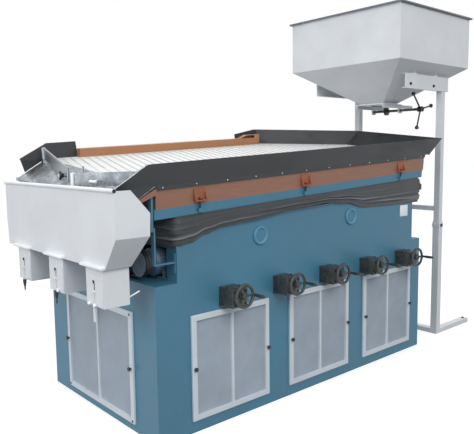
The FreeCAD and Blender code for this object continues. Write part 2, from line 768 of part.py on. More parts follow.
def belt(first, first_radius, second, second_radius, width):
    """Endless belt round two pulleys: the hull of two circles less a thinner hull."""
    between = second - first
    heading = math.atan2(between.z, between.y)
    swing = math.acos((first_radius - second_radius) / between.Length)

    def hull(extra, size):
        loop = wrap(first, first_radius + extra, heading + swing, 2 * math.pi - 2 * swing)
        loop += wrap(second, second_radius + extra, heading - swing, 2 * swing)
        return prism([p - ALONG * (size / 2) for p in loop], ALONG * size)

    return hull(BELT_THICK, width).cut(hull(BELT_GAP, width + 2))


def fan_pulley_centre():
    return at(FAN_PULLEY_PLACE, FAN_AXIS_DEPTH, FAN_AXIS_HEIGHT)


def fan_motor_pulley_centre():
    return at(FAN_PULLEY_PLACE, FAN_MOTOR_DEPTH, FAN_MOTOR_HEIGHT)


def pillow_block(x, y, z, shaft, base, width):
    """Bearing housing and its pedestal down to a base height."""
    radius = shaft * 2.0
    ring = round_bar(at(x - width / 2, y, z), ALONG, radius, width)
    foot = box(x - width / 2, x + width / 2, y - 1.7 * radius, y + 1.7 * radius, z - radius - 8,
               z - radius + 8)
    neck = box(x - width / 2, x + width / 2, y - radius, y + radius, z - radius, z)
    parts = [ring, foot, neck]
    if z - radius - 8 > base:
        parts.append(box(x - width / 2, x + width / 2, y - 1.7 * radius, y - radius, base,
                         z - radius - 8))
        parts.append(box(x - width / 2, x + width / 2, y + radius, y + 1.7 * radius, base,
                         z - radius - 8))
    bore = rod(at(x - width, y, z), ALONG, shaft + RUN_FIT, 2 * width)
    return joined(parts).cut(bore)


def fan_bearings():
    return [pillow_block(x, FAN_AXIS_DEPTH, FAN_AXIS_HEIGHT, FAN_SHAFT_RADIUS, CABINET_WALL, 50)
            for x in FAN_BEARING_PLACES]


def motor(x0, x1, y, z, radius, base, shaft, box_turn):
    """Foot-mounted motor: finned body, end bells, fan cowl, terminal box and feet."""
    length = x1 - x0
    body = round_bar(at(x0 + 0.16 * length, y, z), ALONG, radius * 0.9, length * 0.6)
    bell = turned([FreeCAD.Vector(0, 0, 0), FreeCAD.Vector(0, 0, radius * 0.55),
                   FreeCAD.Vector(0.06 * length, 0, radius), FreeCAD.Vector(0.16 * length, 0, radius),
                   FreeCAD.Vector(0.16 * length, 0, 0)], ALONG)
    bell.translate(at(x0, y, z))
    cowl = round_bar(at(x0 + 0.76 * length, y, z), ALONG, radius, length * 0.24)
    fins = []
    for i in range(10):
        turn = 36.0 * i + 18
        fin = local_box(x0 + 0.16 * length, x0 + 0.76 * length, -2.5, 2.5, radius * 0.8, radius * 1.02)
        fin.translate(FreeCAD.Vector(LEFT, 0, 0))
        fin.rotate(ORIGIN, ALONG, turn)
        fin.translate(FreeCAD.Vector(0, FRONT + y, z))
        fins.append(fin)
    terminal = Part.makeBox(0.25 * length, radius * 0.8, radius * 0.6,
                            FreeCAD.Vector(0.3 * length, -radius * 0.4, radius * 0.7))
    terminal.rotate(ORIGIN, ALONG, box_turn)
    terminal.translate(at(x0, y, z))
    feet = box(x0 + 0.25 * length, x0 + 0.7 * length, y - radius, y + radius, base, base + 12)
    webs = [box(x0 + 0.25 * length, x0 + 0.7 * length, y + s * radius * 0.7 - 6,
                y + s * radius * 0.7 + 6, base, z) for s in (-1, 1)]
    bore = rod(at(x0 - 1, y, z), ALONG, shaft + RUN_FIT, length * 0.5)
    return joined([body, bell, cowl, terminal, feet] + webs + fins).cut(bore)


def stub_shaft(centre, radius, before, after):
    """Short motor shaft along X through a pulley."""
    return rod(centre - ALONG * before, ALONG, radius, before + after)


def fan_motor():
    start = FAN_PULLEY_PLACE + BELT_WIDTH / 2 + MOTOR_STANDOFF
    return motor(start, start + FAN_MOTOR_LENGTH, FAN_MOTOR_DEPTH, FAN_MOTOR_HEIGHT,
                 FAN_MOTOR_RADIUS, CABINET_WALL, MOTOR_SHAFT, 0)


def fan_motor_pulley():
    centre = fan_motor_pulley_centre()
    wheel = pulley(centre, FAN_MOTOR_PULLEY_RADIUS, BELT_WIDTH)
    shaft = stub_shaft(centre, MOTOR_SHAFT, BELT_WIDTH / 2,
                       BELT_WIDTH / 2 + MOTOR_STANDOFF + MOTOR_SHAFT_REACH)
    return joined([wheel, shaft])


def bored(wheel, centre, radius, width):
    """A pulley with a true bore for the shaft that carries it."""
    return wheel.cut(rod(centre - ALONG * width, ALONG, radius, 2 * width))


def fan_pulley():
    """Driven pulley, dished on one side."""
    centre = fan_pulley_centre()
    wheel = pulley(centre, FAN_PULLEY_RADIUS, BELT_WIDTH)
    light = [FreeCAD.Vector(-BELT_WIDTH, 0, FAN_SHAFT_RADIUS + 22),
             FreeCAD.Vector(-6, 0, FAN_SHAFT_RADIUS + 22), FreeCAD.Vector(-6, 0, FAN_PULLEY_RADIUS - 12),
             FreeCAD.Vector(-BELT_WIDTH, 0, FAN_PULLEY_RADIUS - 12)]
    hollow = turned(light, ALONG)
    hollow.translate(centre)
    return bored(wheel.cut(hollow), centre, FAN_SHAFT_RADIUS, BELT_WIDTH)


def fan_belt():
    return belt(fan_pulley_centre(), FAN_PULLEY_RADIUS, fan_motor_pulley_centre(),
                FAN_MOTOR_PULLEY_RADIUS, BELT_WIDTH - 14)


def drive_point(x):
    return at(x, DRIVE_AXIS_DEPTH, DRIVE_AXIS_HEIGHT)


def shaker_motor_height():
    return BASE_HEIGHT + SHAKER_MOTOR_RADIUS + 20


def shaker_motor_centre():
    return at(FLYWHEEL_PLACE, SHAKER_MOTOR_DEPTH, shaker_motor_height())


def eccentric_shaft():
    """Drive shaft with an offset disc near its outer end."""
    start = FLYWHEEL_PLACE - FLYWHEEL_WIDTH / 2 - 8
    end = DRIVE_BEARING_PLACES[-1] + 45
    shaft = rod(drive_point(start), ALONG, DRIVE_SHAFT_RADIUS, end - start)
    lobe = rod(drive_point(ECCENTRIC_PLACE - ECCENTRIC_WIDTH / 2) - UP * ECCENTRICITY, ALONG,
               ECCENTRIC_RADIUS, ECCENTRIC_WIDTH)
    return joined([shaft, lobe])


def flywheel_pulley():
    """Heavy driven pulley with a solid web and a thick rim."""
    centre = drive_point(FLYWHEEL_PLACE)
    wheel = pulley(centre, FLYWHEEL_RADIUS, FLYWHEEL_WIDTH)
    half = FLYWHEEL_WIDTH / 2
    tools = []
    for side in (-1, 1):
        recess = turned([FreeCAD.Vector(side * 8, 0, DRIVE_SHAFT_RADIUS + 20),
                         FreeCAD.Vector(side * (half + 1), 0, DRIVE_SHAFT_RADIUS + 20),
                         FreeCAD.Vector(side * (half + 1), 0, FLYWHEEL_RADIUS - 16),
                         FreeCAD.Vector(side * 8, 0, FLYWHEEL_RADIUS - 16)], ALONG)
        recess.translate(centre)
        tools.append(recess)
    return bored(wheel.cut(tools), centre, DRIVE_SHAFT_RADIUS, FLYWHEEL_WIDTH)


def shaker_motor():
    start = FLYWHEEL_PLACE + FLYWHEEL_WIDTH / 2 + MOTOR_STANDOFF
    return motor(start, start + SHAKER_MOTOR_LENGTH, SHAKER_MOTOR_DEPTH, shaker_motor_height(),
                 SHAKER_MOTOR_RADIUS, BASE_HEIGHT, MOTOR_SHAFT, -90)


def shaker_motor_pulley():
    centre = shaker_motor_centre()
    wheel = pulley(centre, SHAKER_PULLEY_RADIUS, FLYWHEEL_WIDTH)
    shaft = stub_shaft(centre, MOTOR_SHAFT, FLYWHEEL_WIDTH / 2,
                       FLYWHEEL_WIDTH / 2 + MOTOR_STANDOFF + MOTOR_SHAFT_REACH)
    return joined([wheel, shaft])


def shaker_belt():
    return belt(drive_point(FLYWHEEL_PLACE), FLYWHEEL_RADIUS, shaker_motor_centre(),
                SHAKER_PULLEY_RADIUS, FLYWHEEL_WIDTH - 14)


def shaker_bearings():
    return [pillow_block(x, DRIVE_AXIS_DEPTH, DRIVE_AXIS_HEIGHT, DRIVE_SHAFT_RADIUS, BASE_HEIGHT, 36)
            for x in DRIVE_BEARING_PLACES]


def rod_direction():
    """The connecting rod points along the shaking motion."""
    return deck_direction(0, 1, 0)


def rod_pin_point():
    return drive_point(ECCENTRIC_PLACE) + rod_direction() * ROD_LENGTH


def ring_bore():
    """Ring bore that clears the eccentric over the stroke and the rod's swing."""
    return ECCENTRIC_RADIUS + ECCENTRICITY * (1 + math.sqrt(2)) + PIVOT_CLEAR


def connecting_rod():
    """Ring round the eccentric, a tapered shank and an eye on the deck's pin."""
    width = ECCENTRIC_WIDTH - 4
    centre = drive_point(ECCENTRIC_PLACE)
    eye = rod_pin_point()
    outer = ring_bore() + ROD_RING_WALL
    ring = round_bar(centre - ALONG * width / 2, ALONG, outer, width)
    small = round_bar(eye - ALONG * width / 2, ALONG, ROD_PIN * 2, width)
    heading = rod_direction()
    side = ALONG.cross(heading)
    near = centre + heading * (outer - 6)
    far = eye - heading * (ROD_PIN * 2 - 6)
    outline = [near + side * 22, near - side * 22, far - side * 14, far + side * 14]
    outline = [p - ALONG * 9 for p in outline]
    shank = prism(outline, ALONG * 18)
    bores = [rod(centre - ALONG * width, ALONG, ring_bore(), 2 * width),
             rod(eye - ALONG * width, ALONG, ROD_PIN + RUN_FIT, 2 * width)]
    return joined([ring, small, shank]).cut(bores)


def rocker_leg(u, v, top):
    """Flat bar with rounded ends and an eye at each end, square to the shaking motion."""
    low = -top - LEG_LENGTH
    half = LEG_WIDE / 2
    bar = local_box(u - LEG_THICK / 2, u + LEG_THICK / 2, v - half, v + half, low, -top)
    ends = [round_bar(FreeCAD.Vector(u - LEG_THICK / 2, v, w), ALONG, half, LEG_THICK)
            for w in (low, -top)]
    eye_low = rod(FreeCAD.Vector(u - LEG_THICK, v, low), ALONG, LEG_PIN + RUN_FIT, 2 * LEG_THICK)
    eye_high = rod(FreeCAD.Vector(u - LEG_THICK, v, -top), ALONG, LEG_PIN + PIVOT_CLEAR, 2 * LEG_THICK)
    return on_deck(joined([bar] + ends).cut([eye_low, eye_high]))


def leg_list():
    """Name, place, side and top pivot depth of each rocker leg."""
    outer = [(OUTER_LEG_PLACE, v, OUTER_LEG_TOP) for v in OUTER_LEG_SIDES]
    inner = [(INNER_LEG_PLACE, v, INNER_LEG_TOP) for v in INNER_LEG_SIDES]
    names = ("leg_front_outer", "leg_rear_outer", "leg_front_inner", "leg_rear_inner")
    return list(zip(names, outer + inner))


def pivot_pin(u, v, w, before, after):
    """Headed pin along the deck's length through a leg's eye, in the deck's frame."""
    pin = rod(FreeCAD.Vector(u - before, v, w), ALONG, LEG_PIN, before + after)
    head = round_bar(FreeCAD.Vector(u - before, v, w), ALONG, LEG_PIN + 5, 5, KNOB_SIDES)
    return pin.fuse(head)


def leg_brackets():
    """Brackets with the lower pins: two on the cheeks of the drive bay, two on the beam."""
    half = LEG_WIDE / 2
    gap = LEG_THICK / 2 + LEG_SIDE_GAP
    made = []
    for v in OUTER_LEG_SIDES:
        low = -OUTER_LEG_TOP - LEG_LENGTH
        pivot = deck_point(OUTER_LEG_PLACE, v, low)
        x = pivot.x - LEFT
        y = pivot.y - FRONT
        upright = box(x + gap, x + gap + 10, y - half, y + half, BASE_HEIGHT + 0.6 * BAY_HEIGHT,
                      pivot.z + half)
        arm = box(x + gap, LEDGE_LEFT, y - half, y + half, BASE_HEIGHT + 0.6 * BAY_HEIGHT,
                  BASE_HEIGHT + 0.6 * BAY_HEIGHT + 10)
        foot = box(LEDGE_LEFT - 8, LEDGE_LEFT, y - half, y + half, BASE_HEIGHT + 0.3 * BAY_HEIGHT,
                   BASE_HEIGHT + 0.9 * BAY_HEIGHT)
        pin = on_deck(pivot_pin(OUTER_LEG_PLACE, v, low, LEG_THICK / 2 + 6, LEG_THICK / 2 + 8))
        made.append(joined([upright, arm, foot, pin]))
    for v in INNER_LEG_SIDES:
        low = -INNER_LEG_TOP - LEG_LENGTH
        pivot = deck_point(INNER_LEG_PLACE, v, low)
        x = pivot.x - LEFT
        y = pivot.y - FRONT
        level = beam_level()
        upright = box(x + gap, x + gap + 10, y - half, y + half, level, pivot.z + half)
        foot = box(x - LEG_WIDE, x + LEG_WIDE, y - half, y + half, level, level + 8)
        pin = on_deck(pivot_pin(INNER_LEG_PLACE, v, low, LEG_THICK / 2 + 6, LEG_THICK / 2 + 8))
        made.append(joined([upright, foot, pin]))
    return made


def deck_outline(inset, start, end):
    """The deck's plan with its cut corner at the back of the feed end, shrunk all round."""
    slant = math.atan2(DECK_WIDTH - CORNER_SIDE, end - CORNER_BACK)
    side_point = CORNER_SIDE - inset * math.tan((math.pi / 2 - slant) / 2)
    back_point = CORNER_BACK - inset * math.tan(slant / 2)
    flat = [(start + inset, inset), (end - inset, inset), (end - inset, side_point),
            (back_point, DECK_WIDTH - inset), (start + inset, DECK_WIDTH - inset)]
    return [FreeCAD.Vector(u, v, 0) for u, v in flat]


def deck_slab(inset, start, end, low, high):
    outline = [p + UP * low for p in deck_outline(inset, start, end)]
    return prism(outline, UP * (high - low))


def frame_ribs():
    """Where the cross ribs of the deck frame lie along the deck."""
    count = 3
    step = (DECK_FRAME_END - DECK_FRAME_START) / (count + 1)
    return [DECK_FRAME_START + step * (i + 1) for i in range(count)]


def deck_frame():
    """Rigid deck frame: side beams, ribs, a raised bar along the back and the end trim."""
    low = -DECK_FRAME_DEPTH
    ring = deck_slab(0, DECK_FRAME_START, DECK_FRAME_END, low, -SCREEN_THICK)
    ring = ring.cut(deck_slab(DECK_FRAME_WALL, DECK_FRAME_START, DECK_FRAME_END, low - 1, 1))
    skin = CHANNEL_SKIN
    groove = deck_slab(skin, DECK_FRAME_START, DECK_FRAME_END, low + skin, -SCREEN_THICK - skin)
    ring = ring.cut(groove)
    ribs = [local_box(u - 6, u + 6, 0, DECK_WIDTH - 1, low + 30, -SCREEN_THICK) for u in frame_ribs()]
    inside = deck_slab(skin / 2, DECK_FRAME_START, DECK_FRAME_END, low, 0)
    ribs = [rib.common(inside) for rib in ribs]
    wall = DECK_FRAME_WALL
    bar_end = CORNER_BACK - wall / 2
    bar = local_box(BACK_BAR_START, bar_end, DECK_WIDTH - wall, DECK_WIDTH, -SCREEN_THICK,
                    BACK_BAR_RISE)
    hollow = local_box(bar_end - 60, bar_end + 1, DECK_WIDTH - wall + 5, DECK_WIDTH - 5,
                       BACK_BAR_RISE - wall + 5, BACK_BAR_RISE - 5)
    slope = math.tan(math.radians(APRON_SLOPE))
    reach = TRIM_REACH
    trims = []
    for v in (-9.0, DECK_WIDTH - 1.0):
        side = [FreeCAD.Vector(DECK_FRAME_START, v, -SCREEN_THICK - 6),
                FreeCAD.Vector(-reach, v, -SCREEN_THICK - 1 - reach * slope),
                FreeCAD.Vector(-reach, v, -SCREEN_THICK - 20 - reach * slope),
                FreeCAD.Vector(DECK_FRAME_START, v, -SCREEN_THICK - 40)]
        trims.append(prism(side, ACROSS * 10))
    pins = [pivot_pin(OUTER_LEG_PLACE, v, -OUTER_LEG_TOP, LEG_THICK / 2 + 6, DECK_FRAME_START + 20)
            for v in OUTER_LEG_SIDES]
    gussets = []
    for v in GUSSET_SIDES:
        wedge = [FreeCAD.Vector(DECK_FRAME_END, v - 5, -SCREEN_THICK),
                 FreeCAD.Vector(DECK_FLOOR + WALL_THICK, v - 5, -SCREEN_THICK),
                 FreeCAD.Vector(DECK_FLOOR + WALL_THICK, v - 5, -SCREEN_THICK - 18),
                 FreeCAD.Vector(DECK_FRAME_END, v - 5, -SCREEN_THICK - 70)]
        gussets.append(prism(wedge, ACROSS * 10))
    whole = joined([ring, bar] + ribs + trims + pins + gussets).cut(hollow)
    return on_deck(whole)


def deck_subframe():
    """Tube frame under the deck with ears for the clamps, leg lugs and the drive bracket."""
    low = -DECK_FRAME_DEPTH - SUBFRAME_DEPTH
    high = -DECK_FRAME_DEPTH
    outer = local_box(0, SUBFRAME_END, 0, DECK_WIDTH, low, high)
    inner = local_box(SUBFRAME_BAR, SUBFRAME_END - SUBFRAME_BAR, SUBFRAME_BAR,
                      DECK_WIDTH - SUBFRAME_BAR, low - 1, high + 1)
    skin = CHANNEL_SKIN
    groove = local_box(skin, SUBFRAME_END - skin, skin, DECK_WIDTH - skin, low + skin, high - skin)
    half = SUBFRAME_BAR / 2
    bars = [local_box(u - half, u + half, 1, DECK_WIDTH - 1, low, high).cut(
            local_box(u - half + skin, u + half - skin, SUBFRAME_BAR, DECK_WIDTH - SUBFRAME_BAR,
                      low - 1, high - skin)) for u in frame_ribs()]
    corner = [FreeCAD.Vector(SUBFRAME_END, CORNER_SIDE - 20, high - 6),
              FreeCAD.Vector(SUBFRAME_END, DECK_WIDTH, high - 6),
              FreeCAD.Vector(CORNER_BACK - 20, DECK_WIDTH, high - 6)]
    plate = prism(corner, UP * 6)
    stubs = [local_box(-35, 1, v - 12 + 45, v + 12 + 45, low, high - 6) for v in OUTER_LEG_SIDES]
    ears = []
    for u in CLAMP_PLACES:
        for v, side in ((0, -1), (DECK_WIDTH, 1)):
            v0 = min(v, v + side * 16)
            ears.append(local_box(u - 12, u + 12, v0, v0 + 16, low + 12, high - 22))
    lugs = []
    for v in INNER_LEG_SIDES:
        gap = LEG_THICK / 2 + LEG_SIDE_GAP
        u = INNER_LEG_PLACE
        lugs.append(local_box(u + gap, u + gap + 10, v - LEG_WIDE / 2, v + LEG_WIDE / 2,
                              -INNER_LEG_TOP - LEG_WIDE / 2, low + 1))
        lugs.append(pivot_pin(u, v, -INNER_LEG_TOP, LEG_THICK / 2 + 6, LEG_THICK / 2 + 8))
    beam = local_box(INNER_LEG_PLACE - 10, INNER_LEG_PLACE + 50, 1, DECK_WIDTH - 1, low, high)
    whole = joined([outer.cut([inner, groove]), beam, plate] + bars + stubs + ears + lugs)
    whole = on_deck(whole)
    pin_at = rod_pin_point()
    width = ECCENTRIC_WIDTH / 2
    x = ECCENTRIC_PLACE
    y = pin_at.y - FRONT
    top = deck_level(x, y, DECK_FRAME_DEPTH + SUBFRAME_DEPTH / 2)
    hanger = box(x + width, x + width + 10, y - 45, y + 45, pin_at.z - 30, top)
    pin = rod(pin_at - ALONG * (width + 4), ALONG, ROD_PIN, 2 * width + 14)
    v = (y + DECK_OVERHANG) / math.cos(math.radians(DECK_SIDE_TILT))
    web = deck_point(CHANNEL_SKIN / 2, v, -DECK_FRAME_DEPTH - SUBFRAME_DEPTH / 2).x - LEFT
    shelf = box(web, x + width + 10, y - 45, y + 45, top - 14, top - 4)
    return joined([whole, hanger, pin, shelf])


def deck_screen():
    """Deck sheet that the air passes through, notched round the raised back bar."""
    sheet = deck_slab(0, 0, DECK_FLOOR, -SCREEN_THICK, 0)
    notch = local_box(BACK_BAR_START, CORNER_BACK - DECK_FRAME_WALL / 2, DECK_WIDTH - DECK_FRAME_WALL,
                      DECK_WIDTH + 1, -SCREEN_THICK - 1, 1)
    return on_deck(sheet.cut(notch))


def deck_riffles():
    """Low slanted strips that guide the heavy grain up the deck."""
    turn = math.radians(RIFFLE_ANGLE)
    field = deck_slab(DECK_FRAME_WALL + 12, 60, DECK_FLOOR, 0, RIFFLE_HEIGHT)
    lean = DECK_WIDTH / math.tan(turn)
    count = int((DECK_FLOOR + lean) / RIFFLE_PITCH)
    strips = []
    for i in range(count):
        u = -lean + RIFFLE_PITCH * (i + 1)
        foot = FreeCAD.Vector(u, 0, 0)
        length = DECK_WIDTH / math.sin(turn)
        strip = local_box(0, length, -RIFFLE_WIDTH / 2, RIFFLE_WIDTH / 2, 0, RIFFLE_HEIGHT)
        strip.rotate(ORIGIN, UP, RIFFLE_ANGLE)
        strip.translate(foot)
        piece = strip.common(field)
        if piece.Volume > 1:
            strips.append(piece.Solids[0])
    return [on_deck(strip) for strip in strips]


def deck_slant():
    return math.atan2(DECK_WIDTH - CORNER_SIDE, DECK_FLOOR - CORNER_BACK)


def end_corner(out_end, out_slant, w):
    """Where the end wall meets the slanted wall, each pushed outward by its own amount."""
    slant = deck_slant()
    v = CORNER_SIDE + (out_slant - out_end * math.sin(slant)) / math.cos(slant)
    return FreeCAD.Vector(DECK_FLOOR + out_end, v, w)


def back_corner(out_slant, out_back, w):
    """Where the slanted wall meets the back wall."""
    slant = deck_slant()
    u = CORNER_BACK + (out_slant - out_back * math.cos(slant)) / math.sin(slant)
    return FreeCAD.Vector(u, DECK_WIDTH + out_back, w)


def deck_walls():
    """Flared rubber side walls: front with its sloping lip, feed end, cut corner and back."""
    t = WALL_THICK
    h = WALL_HEIGHT
    f = WALL_FLARE
    e = END_FLARE
    end = DECK_FLOOR
    tip = WALL_TIP
    shoulder = WALL_SHOULDER
    sole = SCREEN_THICK + SKIRT_DROP
    front = block8([FreeCAD.Vector(tip, 0, 0), FreeCAD.Vector(end, 0, 0),
                    FreeCAD.Vector(end + t, -t, 0), FreeCAD.Vector(tip, -t, 0)],
                   [FreeCAD.Vector(shoulder, -f, h), FreeCAD.Vector(end + e, -f, h),
                    FreeCAD.Vector(end + e + t, -f - t, h), FreeCAD.Vector(shoulder, -f - t, h)])
    feed = block8([FreeCAD.Vector(end, 0, 0), end_corner(0, 0, 0), end_corner(t, t, 0),
                   FreeCAD.Vector(end + t, -t, 0)],
                  [FreeCAD.Vector(end + e, -f, h), end_corner(e, f, h), end_corner(e + t, f + t, h),
                   FreeCAD.Vector(end + e + t, -f - t, h)])
    slanted = block8([end_corner(0, 0, 0), back_corner(0, 0, 0), back_corner(t, t, 0),
                      end_corner(t, t, 0)],
                     [end_corner(e, f, h), back_corner(f, f, h), back_corner(f + t, f + t, h),
                      end_corner(e + t, f + t, h)])
    lean = f / h
    rise = CORNER_BACK - 24

    def on_back(u, w):
        return FreeCAD.Vector(u, DECK_WIDTH + lean * w, w)

    rear = prism([on_back(REAR_WALL_START, 0), on_back(REAR_WALL_START, REAR_WALL_RISE), on_back(rise, h),
                  on_back(rise, 0)], ACROSS * t)
    rear_end = block8([on_back(rise, 0), back_corner(0, 0, 0), back_corner(t, t, 0),
                       on_back(rise, 0) + ACROSS * t],
                      [on_back(rise, h), back_corner(f, f, h), back_corner(f + t, f + t, h),
                       on_back(rise, h) + ACROSS * t])
    slope = math.tan(math.radians(APRON_SLOPE))
    cheek = prism([FreeCAD.Vector(0, -t, 0), FreeCAD.Vector(tip, -t, 0),
                   FreeCAD.Vector(-APRON_RUN, -t, -APRON_RUN * slope)], ACROSS * t)
    skirt = local_box(DECK_FRAME_START, DECK_FRAME_END, -t, 0, -sole, 0.5)
    end_skirt = local_box(end, end + t, -t, CORNER_SIDE, -SCREEN_THICK, 0.5)
    main = joined([front, feed, slanted, rear_end, rear, cheek, skirt, end_skirt])
    back = prism([on_back(0, 0), on_back(BACK_BAR_START + 5, 0), on_back(BACK_BAR_START + 5, 108),
                  on_back(29, 106), on_back(-175, 12), on_back(-170, 0)], ACROSS * t)
    back_cheek = prism([FreeCAD.Vector(0, DECK_WIDTH, 0), FreeCAD.Vector(-170, DECK_WIDTH, 0),
                        FreeCAD.Vector(-145, DECK_WIDTH, -145 * slope)], ACROSS * t)
    back_skirt = local_box(DECK_FRAME_START, BACK_BAR_START + 5, DECK_WIDTH, DECK_WIDTH + t, -sole, 0.5)
    return [on_deck(main), on_deck(joined([back, back_cheek, back_skirt]))]


def deck_clamps():
    """Hold-down clamps: a plate with a gusseted lip, and a bolt down to the ear below."""
    clamps = []
    top = CLAMP_TOP
    low = top - CLAMP_HEIGHT
    ear = -DECK_FRAME_DEPTH - 22
    for u in CLAMP_PLACES:
        half = CLAMP_WIDTH / 2
        plate = local_box(u - half, u + half, -6, 0, low, top)
        lip = local_box(u - half, u + half, -CLAMP_LIP, -6, low, low + 8)
        gussets = []
        for x in (u - half, u + half - 6):
            wedge = [FreeCAD.Vector(x, -6, low + 8), FreeCAD.Vector(x, -CLAMP_LIP, low + 8),
                     FreeCAD.Vector(x, -6, top - 12)]
            gussets.append(prism(wedge, ALONG * 6))
        bolt = round_bar(FreeCAD.Vector(u, -11, ear), UP, 4.5, low - ear + 22, KNOB_SIDES)
        nut = prism([FreeCAD.Vector(u + 9 * math.cos(math.radians(60 * k)),
                                    -15 + 9 * math.sin(math.radians(60 * k)), low + 8)
                     for k in range(6)], UP * 8)
        clamp = joined([plate, lip, bolt, nut] + gussets)
        mirrored = clamp.mirror(FreeCAD.Vector(0, DECK_WIDTH / 2, 0), ACROSS)
        clamps.append(on_deck(clamp))
        if u < CORNER_BACK:
            clamps.append(on_deck(mirrored))
    return clamps


def bellows():
    """Cloth skirt from the deck frame down round the plenum rim, with a hem that sags."""
    tall = DECK_HEIGHT + BASE_WIDTH
    snug = SOFT_GAP
    out = BELLOWS_OUT
    reach = BELLOWS_END_OUT
    outer = box(LEDGE_LEFT - out, BASE_LENGTH - LEDGE_RIGHT + reach, -out, BASE_WIDTH + out,
                BASE_HEIGHT, tall)
    inner = plenum_block(snug, tall)
    room = RIM_FLANGE + 3 * snug
    channel = box(LEDGE_LEFT - room, BASE_LENGTH - LEDGE_RIGHT + reach - BELLOWS_SHEET, -room,
                  BASE_WIDTH + room, BASE_HEIGHT, tall)
    channel = channel.common(above_deck_level(rim_drop() + RIM_THICK + 2 * snug, tall))
    top = -DECK_FRAME_DEPTH - SUBFRAME_DEPTH - snug
    ends = BASE_WIDTH
    hem = [(0, top), (0, -360), (LEDGE_LEFT, -360), (480, -300), (1000, -278), (1500, -278),
           (1850, -345), (SUBFRAME_END + 50, -378), (SUBFRAME_END + 50, top)]
    curtain = prism([FreeCAD.Vector(u, -200, w) for u, w in hem], ACROSS * (ends + 500))
    return [outer.cut([inner, channel]).common(on_deck(curtain))]


def apron_line(u):
    """Top of the discharge apron in the deck's frame."""
    return -SCREEN_THICK + APRON_SHEET + u * math.tan(math.radians(APRON_SLOPE))


def discharge_apron():
    """Sloping sheet at the low end with a folded lip and stiffening ribs under it."""
    low = apron_line(-APRON_RUN)
    t = APRON_SHEET
    outline = [FreeCAD.Vector(0, 0, apron_line(0)), FreeCAD.Vector(-APRON_RUN, 0, low),
               FreeCAD.Vector(-APRON_RUN - 6, 0, low + 6), FreeCAD.Vector(-APRON_RUN - 9, 0, low + 3),
               FreeCAD.Vector(-APRON_RUN - 9, 0, low - 16), FreeCAD.Vector(-APRON_RUN - 6, 0, low - 16),
               FreeCAD.Vector(-APRON_RUN - 6, 0, low - t), FreeCAD.Vector(-APRON_RUN, 0, low - t),
               FreeCAD.Vector(0, 0, apron_line(0) - t)]
    sheet = prism(outline, ACROSS * DECK_WIDTH)
    ribs = []
    for v in APRON_RIBS:
        rib = [FreeCAD.Vector(0, v, apron_line(0) - t), FreeCAD.Vector(-150, v, apron_line(-150) - t),
               FreeCAD.Vector(0, v, apron_line(0) - 60)]
        ribs.append(prism(rib, ACROSS * 4))
    blocks = [local_box(FRONT_HINGE[0] - 16, 0, FRONT_HINGE[1] - 16, FRONT_HINGE[1] + 16,
                        apron_line(-20) - 2, 0),
              local_box(REAR_HINGE[0] - 16, 0, REAR_HINGE[1] - 16, REAR_HINGE[1] + 16,
                        apron_line(-20) - 2, 0)]
    pins = [rod(FreeCAD.Vector(u, v, -2), UP, BLADE_PIVOT_RADIUS, w) for (u, v), w in
            ((FRONT_HINGE, BLADE_HEIGHT), (REAR_HINGE, BLADE_HEIGHT))]
    return on_deck(joined([sheet] + ribs + blocks + pins))


def blade(hinge, tip, top_at_tip, low_at_tip):
    """A swing blade: a plate on a pivot barrel, tapering to its free edge."""
    start = FreeCAD.Vector(hinge[0], hinge[1], 0)
    heading = FreeCAD.Vector(tip[0] - hinge[0], tip[1] - hinge[1], 0)
    length = heading.Length
    heading.normalize()
    side = UP.cross(heading) * (BLADE_SHEET / 2)
    near = start + heading * BLADE_PIVOT_RADIUS * 1.3
    far = start + heading * length
    top = BLADE_HEIGHT - 6
    outline = [near + UP * BLADE_LIFT, far + UP * low_at_tip, far + UP * top_at_tip, near + UP * top]
    plate = prism([p - side for p in outline], side * 2)
    barrel = round_bar(start + UP * BLADE_LIFT, UP, BLADE_PIVOT_RADIUS + 6, top - BLADE_LIFT)
    bore = rod(start, UP, BLADE_PIVOT_RADIUS + RUN_FIT, BLADE_HEIGHT + 20)
    rim = prism([near - side * 2 + UP * (top - 10), far - side * 2 + UP * (top_at_tip - 10),
                 far - side * 2 + UP * top_at_tip, near - side * 2 + UP * top], side * 4)
    return joined([plate, barrel, rim]).cut(bore), far, heading, side


def gate_blade_rear():
    """Long blade that splits the middle grain from the light grain."""
    body, far, heading, side = blade(REAR_HINGE, REAR_TIP, 42, -42)
    post = round_bar(far - heading * 6 + UP * -42, UP, 7, 84, KNOB_SIDES)
    boss_at = far - heading * LOCK_INSET - UP * BLADE_LIFT
    out = side * (-1 / (BLADE_SHEET / 2))
    boss = round_bar(boss_at, out, LOCK_BOSS, LOCK_BOSS)
    hole = rod(boss_at - out * 20, out, LOCK_STEM + RUN_FIT, 60)
    return on_deck(joined([body, post, boss]).cut(hole))


